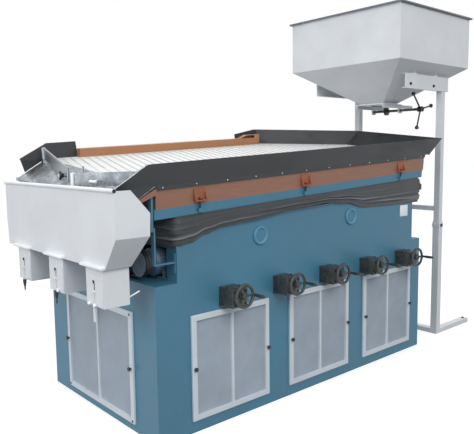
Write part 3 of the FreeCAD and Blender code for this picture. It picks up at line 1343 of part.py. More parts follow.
def blade_lock_knob():
    """Round hand knob on a screw through the rear blade."""
    start = FreeCAD.Vector(REAR_HINGE[0], REAR_HINGE[1], 0)
    heading = FreeCAD.Vector(REAR_TIP[0] - REAR_HINGE[0], REAR_TIP[1] - REAR_HINGE[1], 0)
    length = heading.Length
    heading.normalize()
    out = UP.cross(heading) * -1
    boss_at = start + heading * (length - LOCK_INSET) - UP * BLADE_LIFT
    face = boss_at + out * (LOCK_BOSS + PIVOT_CLEAR)
    stem = rod(boss_at - out * LOCK_BOSS, out, LOCK_STEM, 2 * LOCK_BOSS + PIVOT_CLEAR)
    profile = [FreeCAD.Vector(0, 0, 0), FreeCAD.Vector(12, 0, 0), FreeCAD.Vector(14, 0, 8),
               FreeCAD.Vector(LOCK_RADIUS, 0, 12), FreeCAD.Vector(LOCK_RADIUS, 0, 24),
               FreeCAD.Vector(LOCK_RADIUS - 6, 0, 30), FreeCAD.Vector(0, 0, 30)]
    head = turned(profile, UP)
    flutes = []
    for k in range(6):
        turn = math.radians(60 * k)
        edge = FreeCAD.Vector(math.cos(turn), math.sin(turn), 0) * (LOCK_RADIUS + 2)
        flutes.append(round_bar(edge, UP, 5, 40, KNOB_SIDES))
    head = head.cut(flutes)
    facing = FreeCAD.Rotation(UP, out)
    head.Placement = FreeCAD.Placement(face, facing)
    return on_deck(joined([stem, head]))


def gate_blade_front():
    """Short galvanised blade with an end post, an upright pin and a small handle."""
    body, far, heading, side = blade(FRONT_HINGE, FRONT_TIP, 36, -46)
    out = side * (1 / (BLADE_SHEET / 2))
    foot = far - UP * 46
    corner = foot + heading * 4 - out * 10
    post = prism([corner, corner + heading * 16, corner + heading * 16 + out * 20,
                  corner + out * 20], UP * 82)
    neck = prism([foot - heading * 2 - out * 3, foot + heading * 5 - out * 3,
                  foot + heading * 5 + out * 3, foot - heading * 2 + out * 3], UP * 80)
    pin = round_bar(far - heading * 60 + UP * 30, UP, 5, 48, KNOB_SIDES)
    handle_at = far - heading * 150 + UP * 5
    handle = round_bar(handle_at, out, 6, 34, KNOB_SIDES)
    bar = round_bar(handle_at + out * 34 - heading * 20, heading, 7, 40, KNOB_SIDES)
    return on_deck(joined([body, post, neck, pin, handle, bar]))


def hopper_shell(grow):
    """Solid inside of the discharge hopper, grown by a wall."""
    x0 = -HOPPER_OUT - grow
    x1 = -HOPPER_BACK + grow
    y0 = HOPPER_START - grow
    y1 = HOPPER_FINISH + grow
    side = [at(x0, y0, HOPPER_TOP), at(HOPPER_SHOULDER, y0, HOPPER_TOP),
            at(x1 + 5, y0, HOPPER_BACK_TOP), at(x1, y0, HOPPER_BEND), at(x0, y0, HOPPER_BEND)]
    if not grow:
        over = HOPPER_TOP + 10
        side = [at(x0, y0, over), at(x1, y0, over), at(x1, y0, HOPPER_BEND), at(x0, y0, HOPPER_BEND)]
    upper = prism(side, ACROSS * (y1 - y0))
    bottom = HOPPER_BOTTOM - grow
    near = y0 + HOPPER_END_SLANT
    far = y1 - 18
    rear = x1 - HOPPER_BACK_SLANT
    ring = [at(x0, y0, HOPPER_BEND), at(x1, y0, HOPPER_BEND), at(x1, y1, HOPPER_BEND),
            at(x0, y1, HOPPER_BEND)]
    floor = [at(x0, near, bottom), at(rear, near, bottom), at(rear, far, bottom), at(x0, far, bottom)]
    return upper.fuse(block8(ring, floor))


def discharge_hopper():
    """Sheet hopper with a rolled lip, ends, ridges between three spouts and wall brackets."""
    wall = HOPPER_WALL
    shell = hopper_shell(wall).cut(hopper_shell(0))
    lip = round_bar(at(-HOPPER_OUT - wall, HOPPER_START - wall, HOPPER_TOP), ACROSS,
                    HOPPER_LIP_RADIUS, HOPPER_FINISH - HOPPER_START + 2 * wall)
    pieces = [shell, lip]
    holes = []
    front = -HOPPER_OUT - wall
    back = -HOPPER_OUT + SPOUT_DEPTH
    for start in SPOUT_STARTS:
        finish = start + SPOUT_WIDTH
        pieces.append(box(front, back, start, finish, SPOUT_BOTTOM, HOPPER_BOTTOM))
        holes.append(box(front + wall, back - wall, start + wall, finish - wall, SPOUT_BOTTOM - 1,
                         HOPPER_BOTTOM + 1))
        middle = (start + finish) / 2
        width = (SPOUT_WIDTH + 50) / 2
        brow = local_box(-OUTLET_LIP, 1, -width, width, 0, 5)
        round_edge = round_bar(FreeCAD.Vector(-OUTLET_LIP, -width, 5), ACROSS, 5, 2 * width,
                               KNOB_SIDES)
        lid = joined([brow, round_edge])
        lid.translate(at(front, middle, HOPPER_BOTTOM - 2))
        pieces.append(lid)
    ridges = []
    for first, second in zip(SPOUT_STARTS, SPOUT_STARTS[1:]):
        left = first + SPOUT_WIDTH
        right = second
        peak = HOPPER_BOTTOM + RIDGE_HEIGHT
        tent = [at(-HOPPER_OUT - 1, left, HOPPER_BOTTOM), at(-HOPPER_OUT - 1, right, HOPPER_BOTTOM),
                at(-HOPPER_OUT - 1, (left + right) / 2, peak)]
        ridges.append(prism(tent, ALONG * (HOPPER_OUT - HOPPER_BACK)).common(hopper_shell(wall / 2)))
    body = joined(pieces + ridges).cut(holes)
    studs = []
    for start in SPOUT_STARTS:
        middle = start + SPOUT_WIDTH / 2
        for z in stud_heights():
            stud = round_bar(at(front + 1, middle, z), ALONG * -1, 5,
                             OUTLET_PLATE + 2 * GATE_FIT + 1 + 12, KNOB_SIDES)
            washer = round_bar(at(front - OUTLET_PLATE - 2 * GATE_FIT, middle, z), ALONG * -1,
                               13, 3)
            studs.append(stud.fuse(washer))
    brackets = []
    for y in HOPPER_BRACKETS:
        upright = box(-HOPPER_BACK + wall - 1, -HOPPER_BACK + wall + 7, y - 30, y + 30,
                      HOPPER_BEND, HOPPER_BEND + 70)
        drop = [at(-HOPPER_BACK + wall, y - 4, HOPPER_BEND + 70), at(-HOPPER_BACK + wall, y - 4, HOPPER_BEND),
                at(6, y - 4, BASE_HEIGHT + 8), at(6, y - 4, BASE_HEIGHT + 60)]
        web = prism(drop, ACROSS * 8)
        foot = box(2, 17, y - 30, y + 30, BASE_HEIGHT, BASE_HEIGHT + 60)
        brackets += [upright, web, foot]
    return [joined([body] + studs + brackets)]


def stud_heights():
    """The two studs that each outlet slide runs on."""
    top = outlet_top() - 24
    return (top, top - OUTLET_TRAVEL - 8)


def outlet_top():
    """Top edge of a closed outlet slide, clear of the lid when it is raised."""
    return HOPPER_BOTTOM - 4 - OUTLET_TRAVEL


def ball(radius):
    """A faceted ball about the origin."""
    steps = KNOB_SIDES // 2
    turns = [math.pi * k / steps for k in range(steps + 1)]
    return turned([FreeCAD.Vector(math.sin(t), 0, -math.cos(t)) * radius for t in turns], UP,
                  KNOB_SIDES)


def outlet_gate(index):
    """Slide plate with one long slot on the front of a spout, and its own pull."""
    start = SPOUT_STARTS[index]
    middle = start + SPOUT_WIDTH / 2
    front = -HOPPER_OUT - HOPPER_WALL - GATE_FIT
    half = SPOUT_WIDTH / 2 - 8
    low = SPOUT_BOTTOM + 4
    plate = box(front - OUTLET_PLATE, front, middle - half, middle + half, low, outlet_top())
    highest, lowest = stud_heights()
    ends = (lowest - OUTLET_TRAVEL - 6, highest)
    slots = [box(front - OUTLET_PLATE - 1, front + 1, middle - OUTLET_SLOT / 2,
                 middle + OUTLET_SLOT / 2, ends[0], ends[1])]
    for z in ends:
        slots.append(round_hole(at(front + 1, middle, z), ALONG * -1, OUTLET_SLOT / 2,
                                OUTLET_PLATE + 2))
    plate = plate.cut(slots)
    grip_y = middle + half * (0.55 if index == 0 else -0.25)
    face = front - OUTLET_PLATE
    tab = box(face - 8, face, grip_y - 12, grip_y + 12, low, low + 12)
    if index == 0:
        strap = box(face - 6, face - 2, middle - 10, middle + 10, low - 88, low + 6)
        foot = box(face - 3, face, middle - 10, middle + 10, low, low + 8)
        grip = ball(9)
        grip.translate(at(face - 8, grip_y, low + 6))
        return [joined([plate, tab, strap, foot, grip])]
    profile = [FreeCAD.Vector(0, 0, 0), FreeCAD.Vector(11, 0, 0), FreeCAD.Vector(12, 0, -10),
               FreeCAD.Vector(3, 0, -74), FreeCAD.Vector(0, 0, -78)]
    handle = turned(profile, UP, KNOB_SIDES)
    handle.translate(at(face - 12, grip_y, low + 6))
    return [joined([plate, tab, handle])]


def feed_middle_y():
    return FEED_START + FEED_WIDTH / 2


def feed_ring(length, width, z):
    x = FEED_X
    y = feed_middle_y()
    return [at(x - length / 2, y - width / 2, z), at(x + length / 2, y - width / 2, z),
            at(x + length / 2, y + width / 2, z), at(x - length / 2, y + width / 2, z)]


def feed_shell(grow):
    """Inside of the feed hopper grown by a wall."""
    extra = 0 if grow else 1
    upper = block8(feed_ring(FEED_LENGTH + 2 * grow, FEED_WIDTH + 2 * grow, FEED_KNEE),
                   feed_ring(FEED_LENGTH + 2 * grow, FEED_WIDTH + 2 * grow, FEED_TOP + extra))
    lower = block8(feed_ring(FEED_OUTLET_X + 2 * grow, FEED_OUTLET_Y + 2 * grow, FEED_OUTLET_TOP),
                   feed_ring(FEED_LENGTH + 2 * grow, FEED_WIDTH + 2 * grow, FEED_KNEE))
    neck = block8(feed_ring(FEED_OUTLET_X + 2 * grow, FEED_OUTLET_Y + 2 * grow,
                            FEED_OUTLET_TOP - 14 - extra),
                  feed_ring(FEED_OUTLET_X + 2 * grow, FEED_OUTLET_Y + 2 * grow, FEED_OUTLET_TOP))
    return upper.fuse([lower, neck])


def feed_hopper():
    """Square hopper with a folded rim, a pyramid bottom, an outlet neck and saddle plates."""
    wall = FEED_WALL
    shell = feed_shell(wall).cut(feed_shell(0))
    rim = block8(feed_ring(FEED_LENGTH + 2 * FEED_RIM, FEED_WIDTH + 2 * FEED_RIM, FEED_TOP - 5),
                 feed_ring(FEED_LENGTH + 2 * FEED_RIM, FEED_WIDTH + 2 * FEED_RIM, FEED_TOP))
    rim = rim.cut(block8(feed_ring(FEED_LENGTH, FEED_WIDTH, FEED_TOP - 6),
                         feed_ring(FEED_LENGTH, FEED_WIDTH, FEED_TOP + 1)))
    flange = block8(feed_ring(FEED_OUTLET_X + 70, FEED_OUTLET_Y + 56, FEED_OUTLET_TOP - 14),
                    feed_ring(FEED_OUTLET_X + 70, FEED_OUTLET_Y + 56, FEED_OUTLET_TOP - 8))
    flange = flange.cut(block8(feed_ring(FEED_OUTLET_X, FEED_OUTLET_Y, FEED_OUTLET_TOP - 15),
                               feed_ring(FEED_OUTLET_X, FEED_OUTLET_Y, FEED_OUTLET_TOP)))
    top = ARM_BOTTOM + ARM_HEIGHT
    saddles = []
    for y in POST_PLACES:
        for x in (FEED_X - 160, FEED_X + 160):
            blank = box(x - 4, x + 4, y - POST_SECTION / 2, y + POST_SECTION / 2, top, FEED_KNEE - 5)
            sole = box(x - 30, x + 30, y - POST_SECTION / 2, y + POST_SECTION / 2, top, top + 6)
            saddles.append(blank.cut(feed_shell(wall / 2)))
            saddles.append(sole.cut(feed_shell(wall / 2)))
    return [joined([shell, rim, flange] + saddles)]


def gate_top():
    """Underside of the hopper's outlet flange, where the slide runs."""
    return FEED_OUTLET_TOP - 14


def gate_span():
    """Half width of the slide plate across the outlet."""
    return FEED_OUTLET_Y / 2 + 14


def feed_gate_rails():
    """Channels under the flange that the slide runs in, with bearings for the pinion shaft."""
    y = feed_middle_y()
    half = gate_span()
    x0 = FEED_X - FEED_OUTLET_X / 2 - 34
    x1 = FEED_X + FEED_OUTLET_X / 2 + GATE_TRAVEL + 30
    top = gate_top()
    floor = top - GATE_PLATE - 2 * GATE_FIT
    rails = []
    centre = pinion_centre()
    for side in (-1, 1):
        inner = y + side * (half - 10)
        edge = y + side * (half + GATE_FIT)
        outer = y + side * (half + 8)
        web = box(x0, x1, min(edge, outer), max(edge, outer), floor - GATE_RAIL, top)
        ledge = box(x0, x1, min(inner, outer), max(inner, outer), floor - 4, floor)
        cheek = box(centre.x - LEFT - 26, centre.x - LEFT + 26, min(edge, outer), max(edge, outer),
                    centre.z - 24, floor)
        bore = rod(FreeCAD.Vector(centre.x, FRONT + y + side * (half - 20), centre.z), ACROSS * side,
                   PINION_SHAFT + RUN_FIT, 60)
        rails.append(joined([web, ledge, cheek]).cut(bore))
    return rails


def rack_line():
    """Height of the pitch line where the rack and the pinion roll together."""
    return gate_top() - GATE_FIT - GATE_PLATE - RACK_BACK - GEAR_MODULE


def pinion_radius():
    return GEAR_MODULE * PINION_TEETH / 2


def pinion_centre():
    return at(FEED_X + FEED_OUTLET_X / 2 + 20, feed_middle_y(), rack_line() - pinion_radius())


def tooth_half_angle(radius):
    """Half the angle that a pinion tooth fills at a radius, from the involute."""
    pressure = math.radians(PRESSURE_ANGLE)
    base = pinion_radius() * math.cos(pressure)
    slip = GEAR_BACKLASH / (2 * pinion_radius())
    at_pitch = math.pi / (2 * PINION_TEETH) - slip
    involute = math.tan(pressure) - pressure
    if radius <= base:
        return at_pitch + involute
    local = math.acos(base / radius)
    return at_pitch + involute - (math.tan(local) - local)


def pinion_outline():
    """Involute outline of the pinion in XZ, drawn tooth by tooth."""
    root = pinion_radius() - DEDENDUM * GEAR_MODULE
    tip = pinion_radius() + GEAR_MODULE
    levels = [root, pinion_radius() * FLANK_SHARE, pinion_radius(), tip]
    points = []
    for k in range(PINION_TEETH):
        middle = math.pi / 2 + 2 * math.pi * k / PINION_TEETH
        rising = [(r, middle - tooth_half_angle(r)) for r in levels]
        falling = [(r, middle + tooth_half_angle(r)) for r in reversed(levels)]
        for r, turn in rising + falling:
            points.append(FreeCAD.Vector(r * math.cos(turn), 0, r * math.sin(turn)))
    return points


def feed_handle():
    """Pinion, shaft, hub and three arms with ball knobs, turned about one axis."""
    centre = pinion_centre()
    gear = prism(pinion_outline(), ACROSS * GEAR_WIDTH)
    gear.translate(centre - ACROSS * (GEAR_WIDTH / 2))
    shaft_start = at(0, HANDLE_PLACE, 0).y
    shaft_end = centre.y + gate_span() + 18
    middle = FreeCAD.Vector(centre.x, shaft_start, centre.z)
    shaft = rod(middle, ACROSS, PINION_SHAFT, shaft_end - shaft_start)
    hub = round_bar(middle - ACROSS * 22, ACROSS, 22, 44)
    arms = []
    for angle in HANDLE_ANGLES:
        turn = math.radians(angle)
        out = FreeCAD.Vector(math.cos(turn), 0, math.sin(turn))
        arms.append(round_bar(middle + out * 15, out, 6.5, HANDLE_REACH - 25, KNOB_SIDES))
        profile = [FreeCAD.Vector(0, 0, 0), FreeCAD.Vector(9, 0, 0), FreeCAD.Vector(17, 0, 14),
                   FreeCAD.Vector(14, 0, 26), FreeCAD.Vector(0, 0, 30)]
        knob = turned(profile, UP, KNOB_SIDES)
        knob.Placement = FreeCAD.Placement(middle + out * (HANDLE_REACH - 18), FreeCAD.Rotation(UP, out))
        arms.append(knob)
    return [joined([gear, shaft, hub] + arms)]


def rack(x0, x1, phase):
    """Straight-toothed rack, teeth down, whose gaps line up with the pinion at rest."""
    pitch = math.pi * GEAR_MODULE
    pressure = math.tan(math.radians(PRESSURE_ANGLE))
    line = rack_line()
    tip = line - GEAR_MODULE
    root = line + DEDENDUM * GEAR_MODULE
    half = pitch / 4 - GEAR_BACKLASH / 2
    points = [FreeCAD.Vector(x0, 0, line + RACK_BACK + GEAR_MODULE), FreeCAD.Vector(x0, 0, root)]
    k = math.ceil((x0 + pitch / 2 - phase) / pitch)
    while phase + k * pitch < x1 - pitch / 2:
        middle = phase + k * pitch
        points += [FreeCAD.Vector(middle - half - DEDENDUM * GEAR_MODULE * pressure, 0, root),
                   FreeCAD.Vector(middle - half + GEAR_MODULE * pressure, 0, tip),
                   FreeCAD.Vector(middle + half - GEAR_MODULE * pressure, 0, tip),
                   FreeCAD.Vector(middle + half + DEDENDUM * GEAR_MODULE * pressure, 0, root)]
        k += 1
    points += [FreeCAD.Vector(x1, 0, root), FreeCAD.Vector(x1, 0, line + RACK_BACK + GEAR_MODULE)]
    return prism(points, ACROSS * GEAR_WIDTH)


def feed_gate():
    """Slide plate with the rack under it."""
    y = feed_middle_y()
    x0 = FEED_X - FEED_OUTLET_X / 2 - 30
    x1 = FEED_X + FEED_OUTLET_X / 2 + 30
    top = gate_top() - GATE_FIT
    half = gate_span() - GATE_FIT
    plate = box(x0, x1, y - half, y + half, top - GATE_PLATE, top)
    centre = pinion_centre()
    gap_phase = centre.x + math.pi * GEAR_MODULE / 2
    teeth = rack(LEFT + x0, LEFT + x1, gap_phase)
    teeth.translate(FreeCAD.Vector(0, FRONT + y - GEAR_WIDTH / 2, 0))
    return [joined([plate, teeth])]


def feed_stand():
    """Two telescoping posts with arms, braces, foot rails and ties to the cabinet."""
    half = POST_SECTION / 2
    wall = POST_WALL
    top = ARM_BOTTOM + ARM_HEIGHT
    pieces = []
    for y in POST_PLACES:
        post = box(POST_X - half, POST_X + half, y - half, y + half, FOOT_HEIGHT, POST_SPLICE)
        slim = half - wall
        mast = box(POST_X - slim, POST_X + slim, y - slim, y + slim, POST_SPLICE - 5, ARM_BOTTOM + 20)
        collar = box(POST_X - half - 4, POST_X + half + 4, y - half - 4, y + half + 4,
                     POST_SPLICE - 50, POST_SPLICE - 20)
        side = -1 if y < feed_middle_y() else 1
        rim = y + side * half
        web = box(ARM_START, ARM_END, min(rim, rim - side * 6), max(rim, rim - side * 6),
                  ARM_BOTTOM, top)
        inner = rim - side * ARM_FLANGE
        upper = box(ARM_START, ARM_END, min(rim, inner), max(rim, inner), top - 6, top)
        lower = box(ARM_START, ARM_END, min(rim, inner), max(rim, inner), ARM_BOTTOM, ARM_BOTTOM + 6)
        arm = joined([web, upper, lower])
        foot = box(POST_X - half, FOOT_END, y - half, y + half, 0, FOOT_HEIGHT)
        pieces += [post, mast, collar, arm, foot]
    first, last = POST_PLACES
    floor_rail = box(POST_X - half, POST_X + half, first + half, last - half, 0, FOOT_HEIGHT)
    brace = box(POST_X - 20, POST_X + 20, first + half - wall, last - half + wall,
                BRACE_HEIGHT - 20, BRACE_HEIGHT + 20)
    pieces += [floor_rail, brace]
    for y in (TIE_PLACE, last):
        pieces.append(box(BASE_LENGTH, POST_X - half, y - 20, y + 20, 0, FOOT_HEIGHT))
        pieces.append(box(BASE_LENGTH, BASE_LENGTH + 8, y - 45, y + 45, 0, 110))
    return [joined(pieces)]


def main():
    os.makedirs("parts", exist_ok=True)
    save("lower_cabinet", lower_cabinet())
    save("upper_plenum", upper_plenum())
    save("port_covers", port_covers())
    save("rear_access_covers", rear_access_covers())
    for number, (start, width, height) in enumerate(front_filters(), 1):
        save("filter_frame_%d" % number, [filter_frame(start, width, height, FILTER_BOTTOM)])
    save("filter_frame_end", [filter_frame_end()])
    save("filter_media", filter_media())
    save("filter_knobs", filter_knobs())
    save("air_gearboxes", [gearbox(place) for place in fan_places()])
    for number, place in enumerate(fan_places(), 1):
        save("handwheel_%d" % number, [handwheel(place)])
        save("damper_%d" % number, [damper(place)])
    save("fan_casings", [fan_casing(place) for place in fan_places()])
    save("fan_impellers", [impeller(place) for place in fan_places()])
    save("fan_shaft", [fan_shaft()])
    save("fan_pulley", [fan_pulley()])
    save("fan_bearings", fan_bearings())
    save("fan_motor", [fan_motor()])
    save("fan_motor_pulley", [fan_motor_pulley()])
    save("fan_belt", [fan_belt()])
    save("eccentric_shaft", [eccentric_shaft()])
    save("flywheel_pulley", [flywheel_pulley()])
    save("shaker_motor", [shaker_motor()])
    save("shaker_motor_pulley", [shaker_motor_pulley()])
    save("shaker_belt", [shaker_belt()])
    save("shaker_bearings", shaker_bearings())
    save("connecting_rod", [connecting_rod()])
    save("leg_brackets", leg_brackets())
    for name, (u, v, top) in leg_list():
        save(name, [rocker_leg(u, v, top)])
    save("deck_frame", [deck_frame()])
    save("deck_subframe", [deck_subframe()])
    save("deck_screen", [deck_screen()] + deck_riffles())
    save("deck_walls", deck_walls())
    save("deck_clamps", deck_clamps())
    save("bellows", bellows())
    save("discharge_apron", [discharge_apron()])
    save("gate_blade_rear", [gate_blade_rear()])
    save("gate_blade_front", [gate_blade_front()])
    save("blade_lock_knob", [blade_lock_knob()])
    save("discharge_hopper", discharge_hopper())
    for index in range(len(SPOUT_STARTS)):
        save("outlet_gate_%d" % (index + 1), outlet_gate(index))
    save("feed_hopper", feed_hopper())
    save("feed_gate_rails", feed_gate_rails())
    save("feed_gate", feed_gate())
    save("feed_handle", feed_handle())
    save("feed_stand", feed_stand())


main()
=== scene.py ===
"""Looks of a specific gravity separator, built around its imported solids.

An air table that cleans seed: a blue-green fan cabinet, a shaking tilted deck with
rubber walls, a cloth bellows, and grey hoppers at both ends.
"""
import json
import math

import bmesh
import bpy
from bpy.props import FloatProperty, FloatVectorProperty, PointerProperty
from mathutils import Matrix, Vector, noise


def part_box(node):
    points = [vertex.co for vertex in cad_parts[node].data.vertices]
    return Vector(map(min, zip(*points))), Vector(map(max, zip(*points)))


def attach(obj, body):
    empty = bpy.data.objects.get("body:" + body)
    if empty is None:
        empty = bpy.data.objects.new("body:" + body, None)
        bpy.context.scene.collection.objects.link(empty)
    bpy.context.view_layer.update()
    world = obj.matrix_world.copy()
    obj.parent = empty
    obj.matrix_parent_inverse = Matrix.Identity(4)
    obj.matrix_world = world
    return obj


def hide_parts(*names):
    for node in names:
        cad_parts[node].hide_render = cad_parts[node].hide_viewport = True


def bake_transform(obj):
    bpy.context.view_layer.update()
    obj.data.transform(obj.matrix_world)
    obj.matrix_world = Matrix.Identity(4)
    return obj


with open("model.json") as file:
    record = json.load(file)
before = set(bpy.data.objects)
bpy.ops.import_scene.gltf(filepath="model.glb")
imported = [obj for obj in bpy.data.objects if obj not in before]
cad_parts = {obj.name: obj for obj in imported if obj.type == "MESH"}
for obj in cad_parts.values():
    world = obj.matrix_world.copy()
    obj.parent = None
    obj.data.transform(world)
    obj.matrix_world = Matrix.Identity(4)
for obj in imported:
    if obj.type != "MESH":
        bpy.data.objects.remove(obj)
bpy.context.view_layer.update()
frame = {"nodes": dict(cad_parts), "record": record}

bl_info = {
    "name": "Gravity Separator Dresser",
    "version": (1, 0, 0),
    "blender": (4, 5, 0),
    "location": "3D Viewport > Sidebar > Separator",
    "description": "Finishes and fine pieces for an air table that sorts seed",
    "category": "Object",
}

MM = 0.001
# The cabinet's front left bottom corner, in metres.
LEFT, FRONT = -1.300, -0.660
X_AXIS = Vector((1, 0, 0))
Y_AXIS = Vector((0, 1, 0))
Z_AXIS = Vector((0, 0, 1))

# The deck's leans to the front and to the discharge end, in degrees.
LEAN_ACROSS, LEAN_ALONG = 6, 2.95
# Its origin: millimetres in front of the cabinet, metres above the floor.
DECK_AHEAD, DECK_LEVEL = 20, 1.463
DECK_TILT = (Matrix.Rotation(math.radians(-LEAN_ALONG), 4, "Y")
             @ Matrix.Rotation(math.radians(LEAN_ACROSS), 4, "X"))
DECK = Matrix.Translation((LEFT, FRONT - DECK_AHEAD * MM, DECK_LEVEL)) @ DECK_TILT

# Places that several pieces share, in millimetres from that corner.
WHEEL_X = tuple(509 + 450 * k for k in range(5))
WHEEL_Z = 804.5
FILTER_STARTS, FILTER_WIDTH = (236, 1044, 1839), 616
END_FILTER_Y = (255, 1062)
SPOUTS = (140, 613, 1088)


def linear(code):
    """Linear colour of an sRGB hex code."""
    parts = [int(code[i:i + 2], 16) / 255 for i in (1, 3, 5)]
    return tuple(p / 12.92 if p <= 0.04045 else ((p + 0.055) / 1.055) ** 2.4 for p in parts)


def spot(x, y, z):
    """Point measured in millimetres from the cabinet's front left bottom corner."""
    return Vector((LEFT + x * MM, FRONT + y * MM, z * MM))


def on_deck(u, v, w):
    """Point measured in millimetres along, across and above the leaning deck."""
    return DECK @ Vector((u * MM, v * MM, w * MM))


def deck_way(u, v, w):
    """Direction given in the leaning deck's own axes."""
    return DECK_TILT.to_3x3() @ Vector((u, v, w))


def colour(name, code, description):
    return FloatVectorProperty(name=name, description=description, default=linear(code),
                               size=3, min=0, max=1, subtype="COLOR")


def length(name, metres, description):
    return FloatProperty(name=name, description=description, default=metres, min=0,
                         unit="LENGTH", subtype="DISTANCE")


class SeparatorColours(bpy.types.PropertyGroup):
    """Colours of the machine's finishes."""
    cabinet: colour("Cabinet", "#427790", "Blue-green hammered enamel")
    ring: colour("Port rings", "#4C88A6", "Lighter blue enamel")
    hopper: colour("Hoppers", "#DDE0E4", "Light grey, also of the stand")
    lip: colour("Lips and caps", "#F1F3F5", "White enamel")
    rim: colour("Feed hopper rim", "#69727A", "Dark grey angle")
    filter_rail: colour("Filter rails", "#D3DAE1", "Pale enamel")
    filter_pad: colour("Filter pads", "#A0ACB8", "Pads behind wire mesh")
    beam: colour("Deck beams", "#936A57", "Brown enamel")
    back_bar: colour("Back bar", "#AB7855", "Orange-brown enamel")
    clamp: colour("Clamps", "#98593C", "Duller orange-brown enamel")
    rubber: colour("Rubber", "#25282A", "Walls of the deck")
    cloth: colour("Bellows", "#323639", "Coated cloth")
    deck: colour("Deck cloth", "#EDEEEC", "White woven cover")
    casting: colour("Castings", "#2C2F2E", "Black paint of gears and wheels")
    motor: colour("Motors", "#54697B", "Grey-blue enamel")


class SeparatorSizes(bpy.types.PropertyGroup):
    """Sizes of the fine pieces."""
    wheel_rim: length("Handwheel rim", 0.0095, "Radius of a handwheel's rim")
    screw: length("Wall screws", 0.005, "Radius of the screws in the rubber walls")


def add_node(tree, kind, inputs=None, **settings):
    """Adds a shader node with its settings, values and links."""
    node = tree.nodes.new("ShaderNode" + kind)
    for name, value in settings.items():
        setattr(node, name, value)
    for name, value in (inputs or {}).items():
        if isinstance(value, bpy.types.NodeSocket):
            tree.links.new(value, node.inputs[name])
        else:
            node.inputs[name].default_value = value
    return node


def scaled(base, factor):
    """Colour made lighter or darker."""
    return tuple(min(1, c * factor) for c in base)


def wave_scale(gap_mm):
    """Scale that puts a wave texture's bands that far apart: they repeat every 2 pi / 20."""
    return 0.1 * math.pi / (gap_mm * MM)


# Shader values to start from; paint, rubber, cloth and plastic share an IOR.
PAINT, METAL = {"IOR": 1.5}, {"Metallic": 1.0}


class Skin:
    """New material: its shader, and the patterns in Object coordinates that feed it."""

    def __init__(self, name, values=PAINT):
        self.material = bpy.data.materials.new(name)
        self.material.use_nodes = True
        self.tree = self.material.node_tree
        self.shader = self.tree.nodes["Principled BSDF"]
        for key, value in values.items():
            self.shader.inputs[key].default_value = value
        self.place = add_node(self.tree, "TexCoord").outputs["Object"]

    def link(self, value, name):
        """Feeds one of the shader's inputs."""
        self.tree.links.new(value, self.shader.inputs[name])

    def stretched(self, *factors):
        """Coordinates scaled along each axis, for a pattern that runs one way."""
        return add_node(self.tree, "Mapping", {"Vector": self.place, "Scale": factors}).outputs[0]

    def cloud(self, size_mm, detail=3.0, low=0.35, high=0.65, place=None):
        """Soft patches of about that size, from 0 to 1."""
        patches = add_node(self.tree, "TexNoise",
                           {"Vector": self.place if place is None else place,
                            "Scale": 1 / (size_mm * MM), "Detail": detail, "Roughness": 0.55})
        return add_node(self.tree, "MapRange", {"Value": patches.outputs["Fac"], "From Min": low,
                                                "From Max": high}).outputs[0]

    def weave(self, gap_mm, ways):
        """Square weave with threads that far apart along two ways, from 0 to 1."""
        first, second = (
            add_node(self.tree, "TexWave", {"Vector": self.place, "Scale": wave_scale(gap_mm)},
                     bands_direction=way).outputs["Fac"] for way in ways)
        return add_node(self.tree, "Math", {0: first, 1: second}, operation="MULTIPLY").outputs[0]

    def mix(self, amount, first, second):
        """Colour between two, by amount."""
        first, second = (end if isinstance(end, bpy.types.NodeSocket) else (*end, 1)
                         for end in (first, second))
        return add_node(self.tree, "Mix", {0: amount, 6: first, 7: second},
                        data_type="RGBA").outputs[2]

    def coat(self, amount, first, second):
        """Base colour between two, by amount."""
        self.link(self.mix(amount, first, second), "Base Color")

    def relief(self, height, depth_mm, strength):
        """Surface relief of that depth."""
        node = add_node(self.tree, "Bump", {"Height": height, "Distance": depth_mm * MM,
                                            "Strength": strength})
        self.link(node.outputs[0], "Normal")

    def rough(self, amount, low, high):
        """Roughness that follows the patches."""
        node = add_node(self.tree, "MapRange", {"Value": amount, "To Min": low, "To Max": high})
        self.link(node.outputs[0], "Roughness")


def hammered_enamel(name, base):
    """Sprayed machine enamel: small hammered dimples, faint dust in broad patches."""
    skin = Skin(name)
    dust_and_painted_shade = skin.cloud(420, 5)
    tone = skin.mix(dust_and_painted_shade, scaled(base, 0.93), scaled(base, 1.08))
    skin.coat(skin.cloud(28, 4, 0.6, 0.85), tone, scaled(base, 1.12))
    skin.rough(dust_and_painted_shade, 0.36, 0.5)
    skin.relief(skin.cloud(6, 1), 0.25, 0.4)
    return skin.material


def satin_enamel(name, base):
    """Satin enamel on sheet steel: nearly even, with a light orange peel and faint handling."""
    skin = Skin(name)
    patches = skin.cloud(300, 4)
    skin.coat(patches, scaled(base, 0.95), scaled(base, 1.04))
    skin.rough(patches, 0.34, 0.46)
    skin.relief(skin.cloud(9, 2), 0.12, 0.3)
    return skin.material


def beam_paint(name, base):
    """Brown gloss over the deck's beams: faint lengthwise brush marks, a little rubbed."""
    skin = Skin(name)
    along = skin.stretched(0.1, 1, 1)
    grain = skin.cloud(16, 4, 0.25, 0.75, along)
    rub = skin.cloud(90, 4, 0.4, 0.75, along)
    skin.coat(grain, scaled(base, 0.88), skin.mix(rub, scaled(base, 0.95), scaled(base, 1.18)))
    skin.rough(rub, 0.42, 0.6)
    skin.relief(grain, 0.3, 0.4)
    return skin.material


def galvanised_sheet(name):
    """Zinc-coated sheet: crystal spangles of about 12 mm, each with its own tone."""
    skin = Skin(name, METAL)
    cells = add_node(skin.tree, "TexVoronoi", {"Vector": skin.place, "Scale": 1 / (12 * MM)})
    spread = add_node(skin.tree, "SeparateColor", {"Color": cells.outputs["Color"]})
    tone = skin.mix(spread.outputs[0], linear("#9DA5AB"), linear("#CBD1D6"))
    skin.coat(skin.cloud(90), tone, linear("#868E94"))
    skin.rough(spread.outputs[1], 0.28, 0.5)
    return skin.material


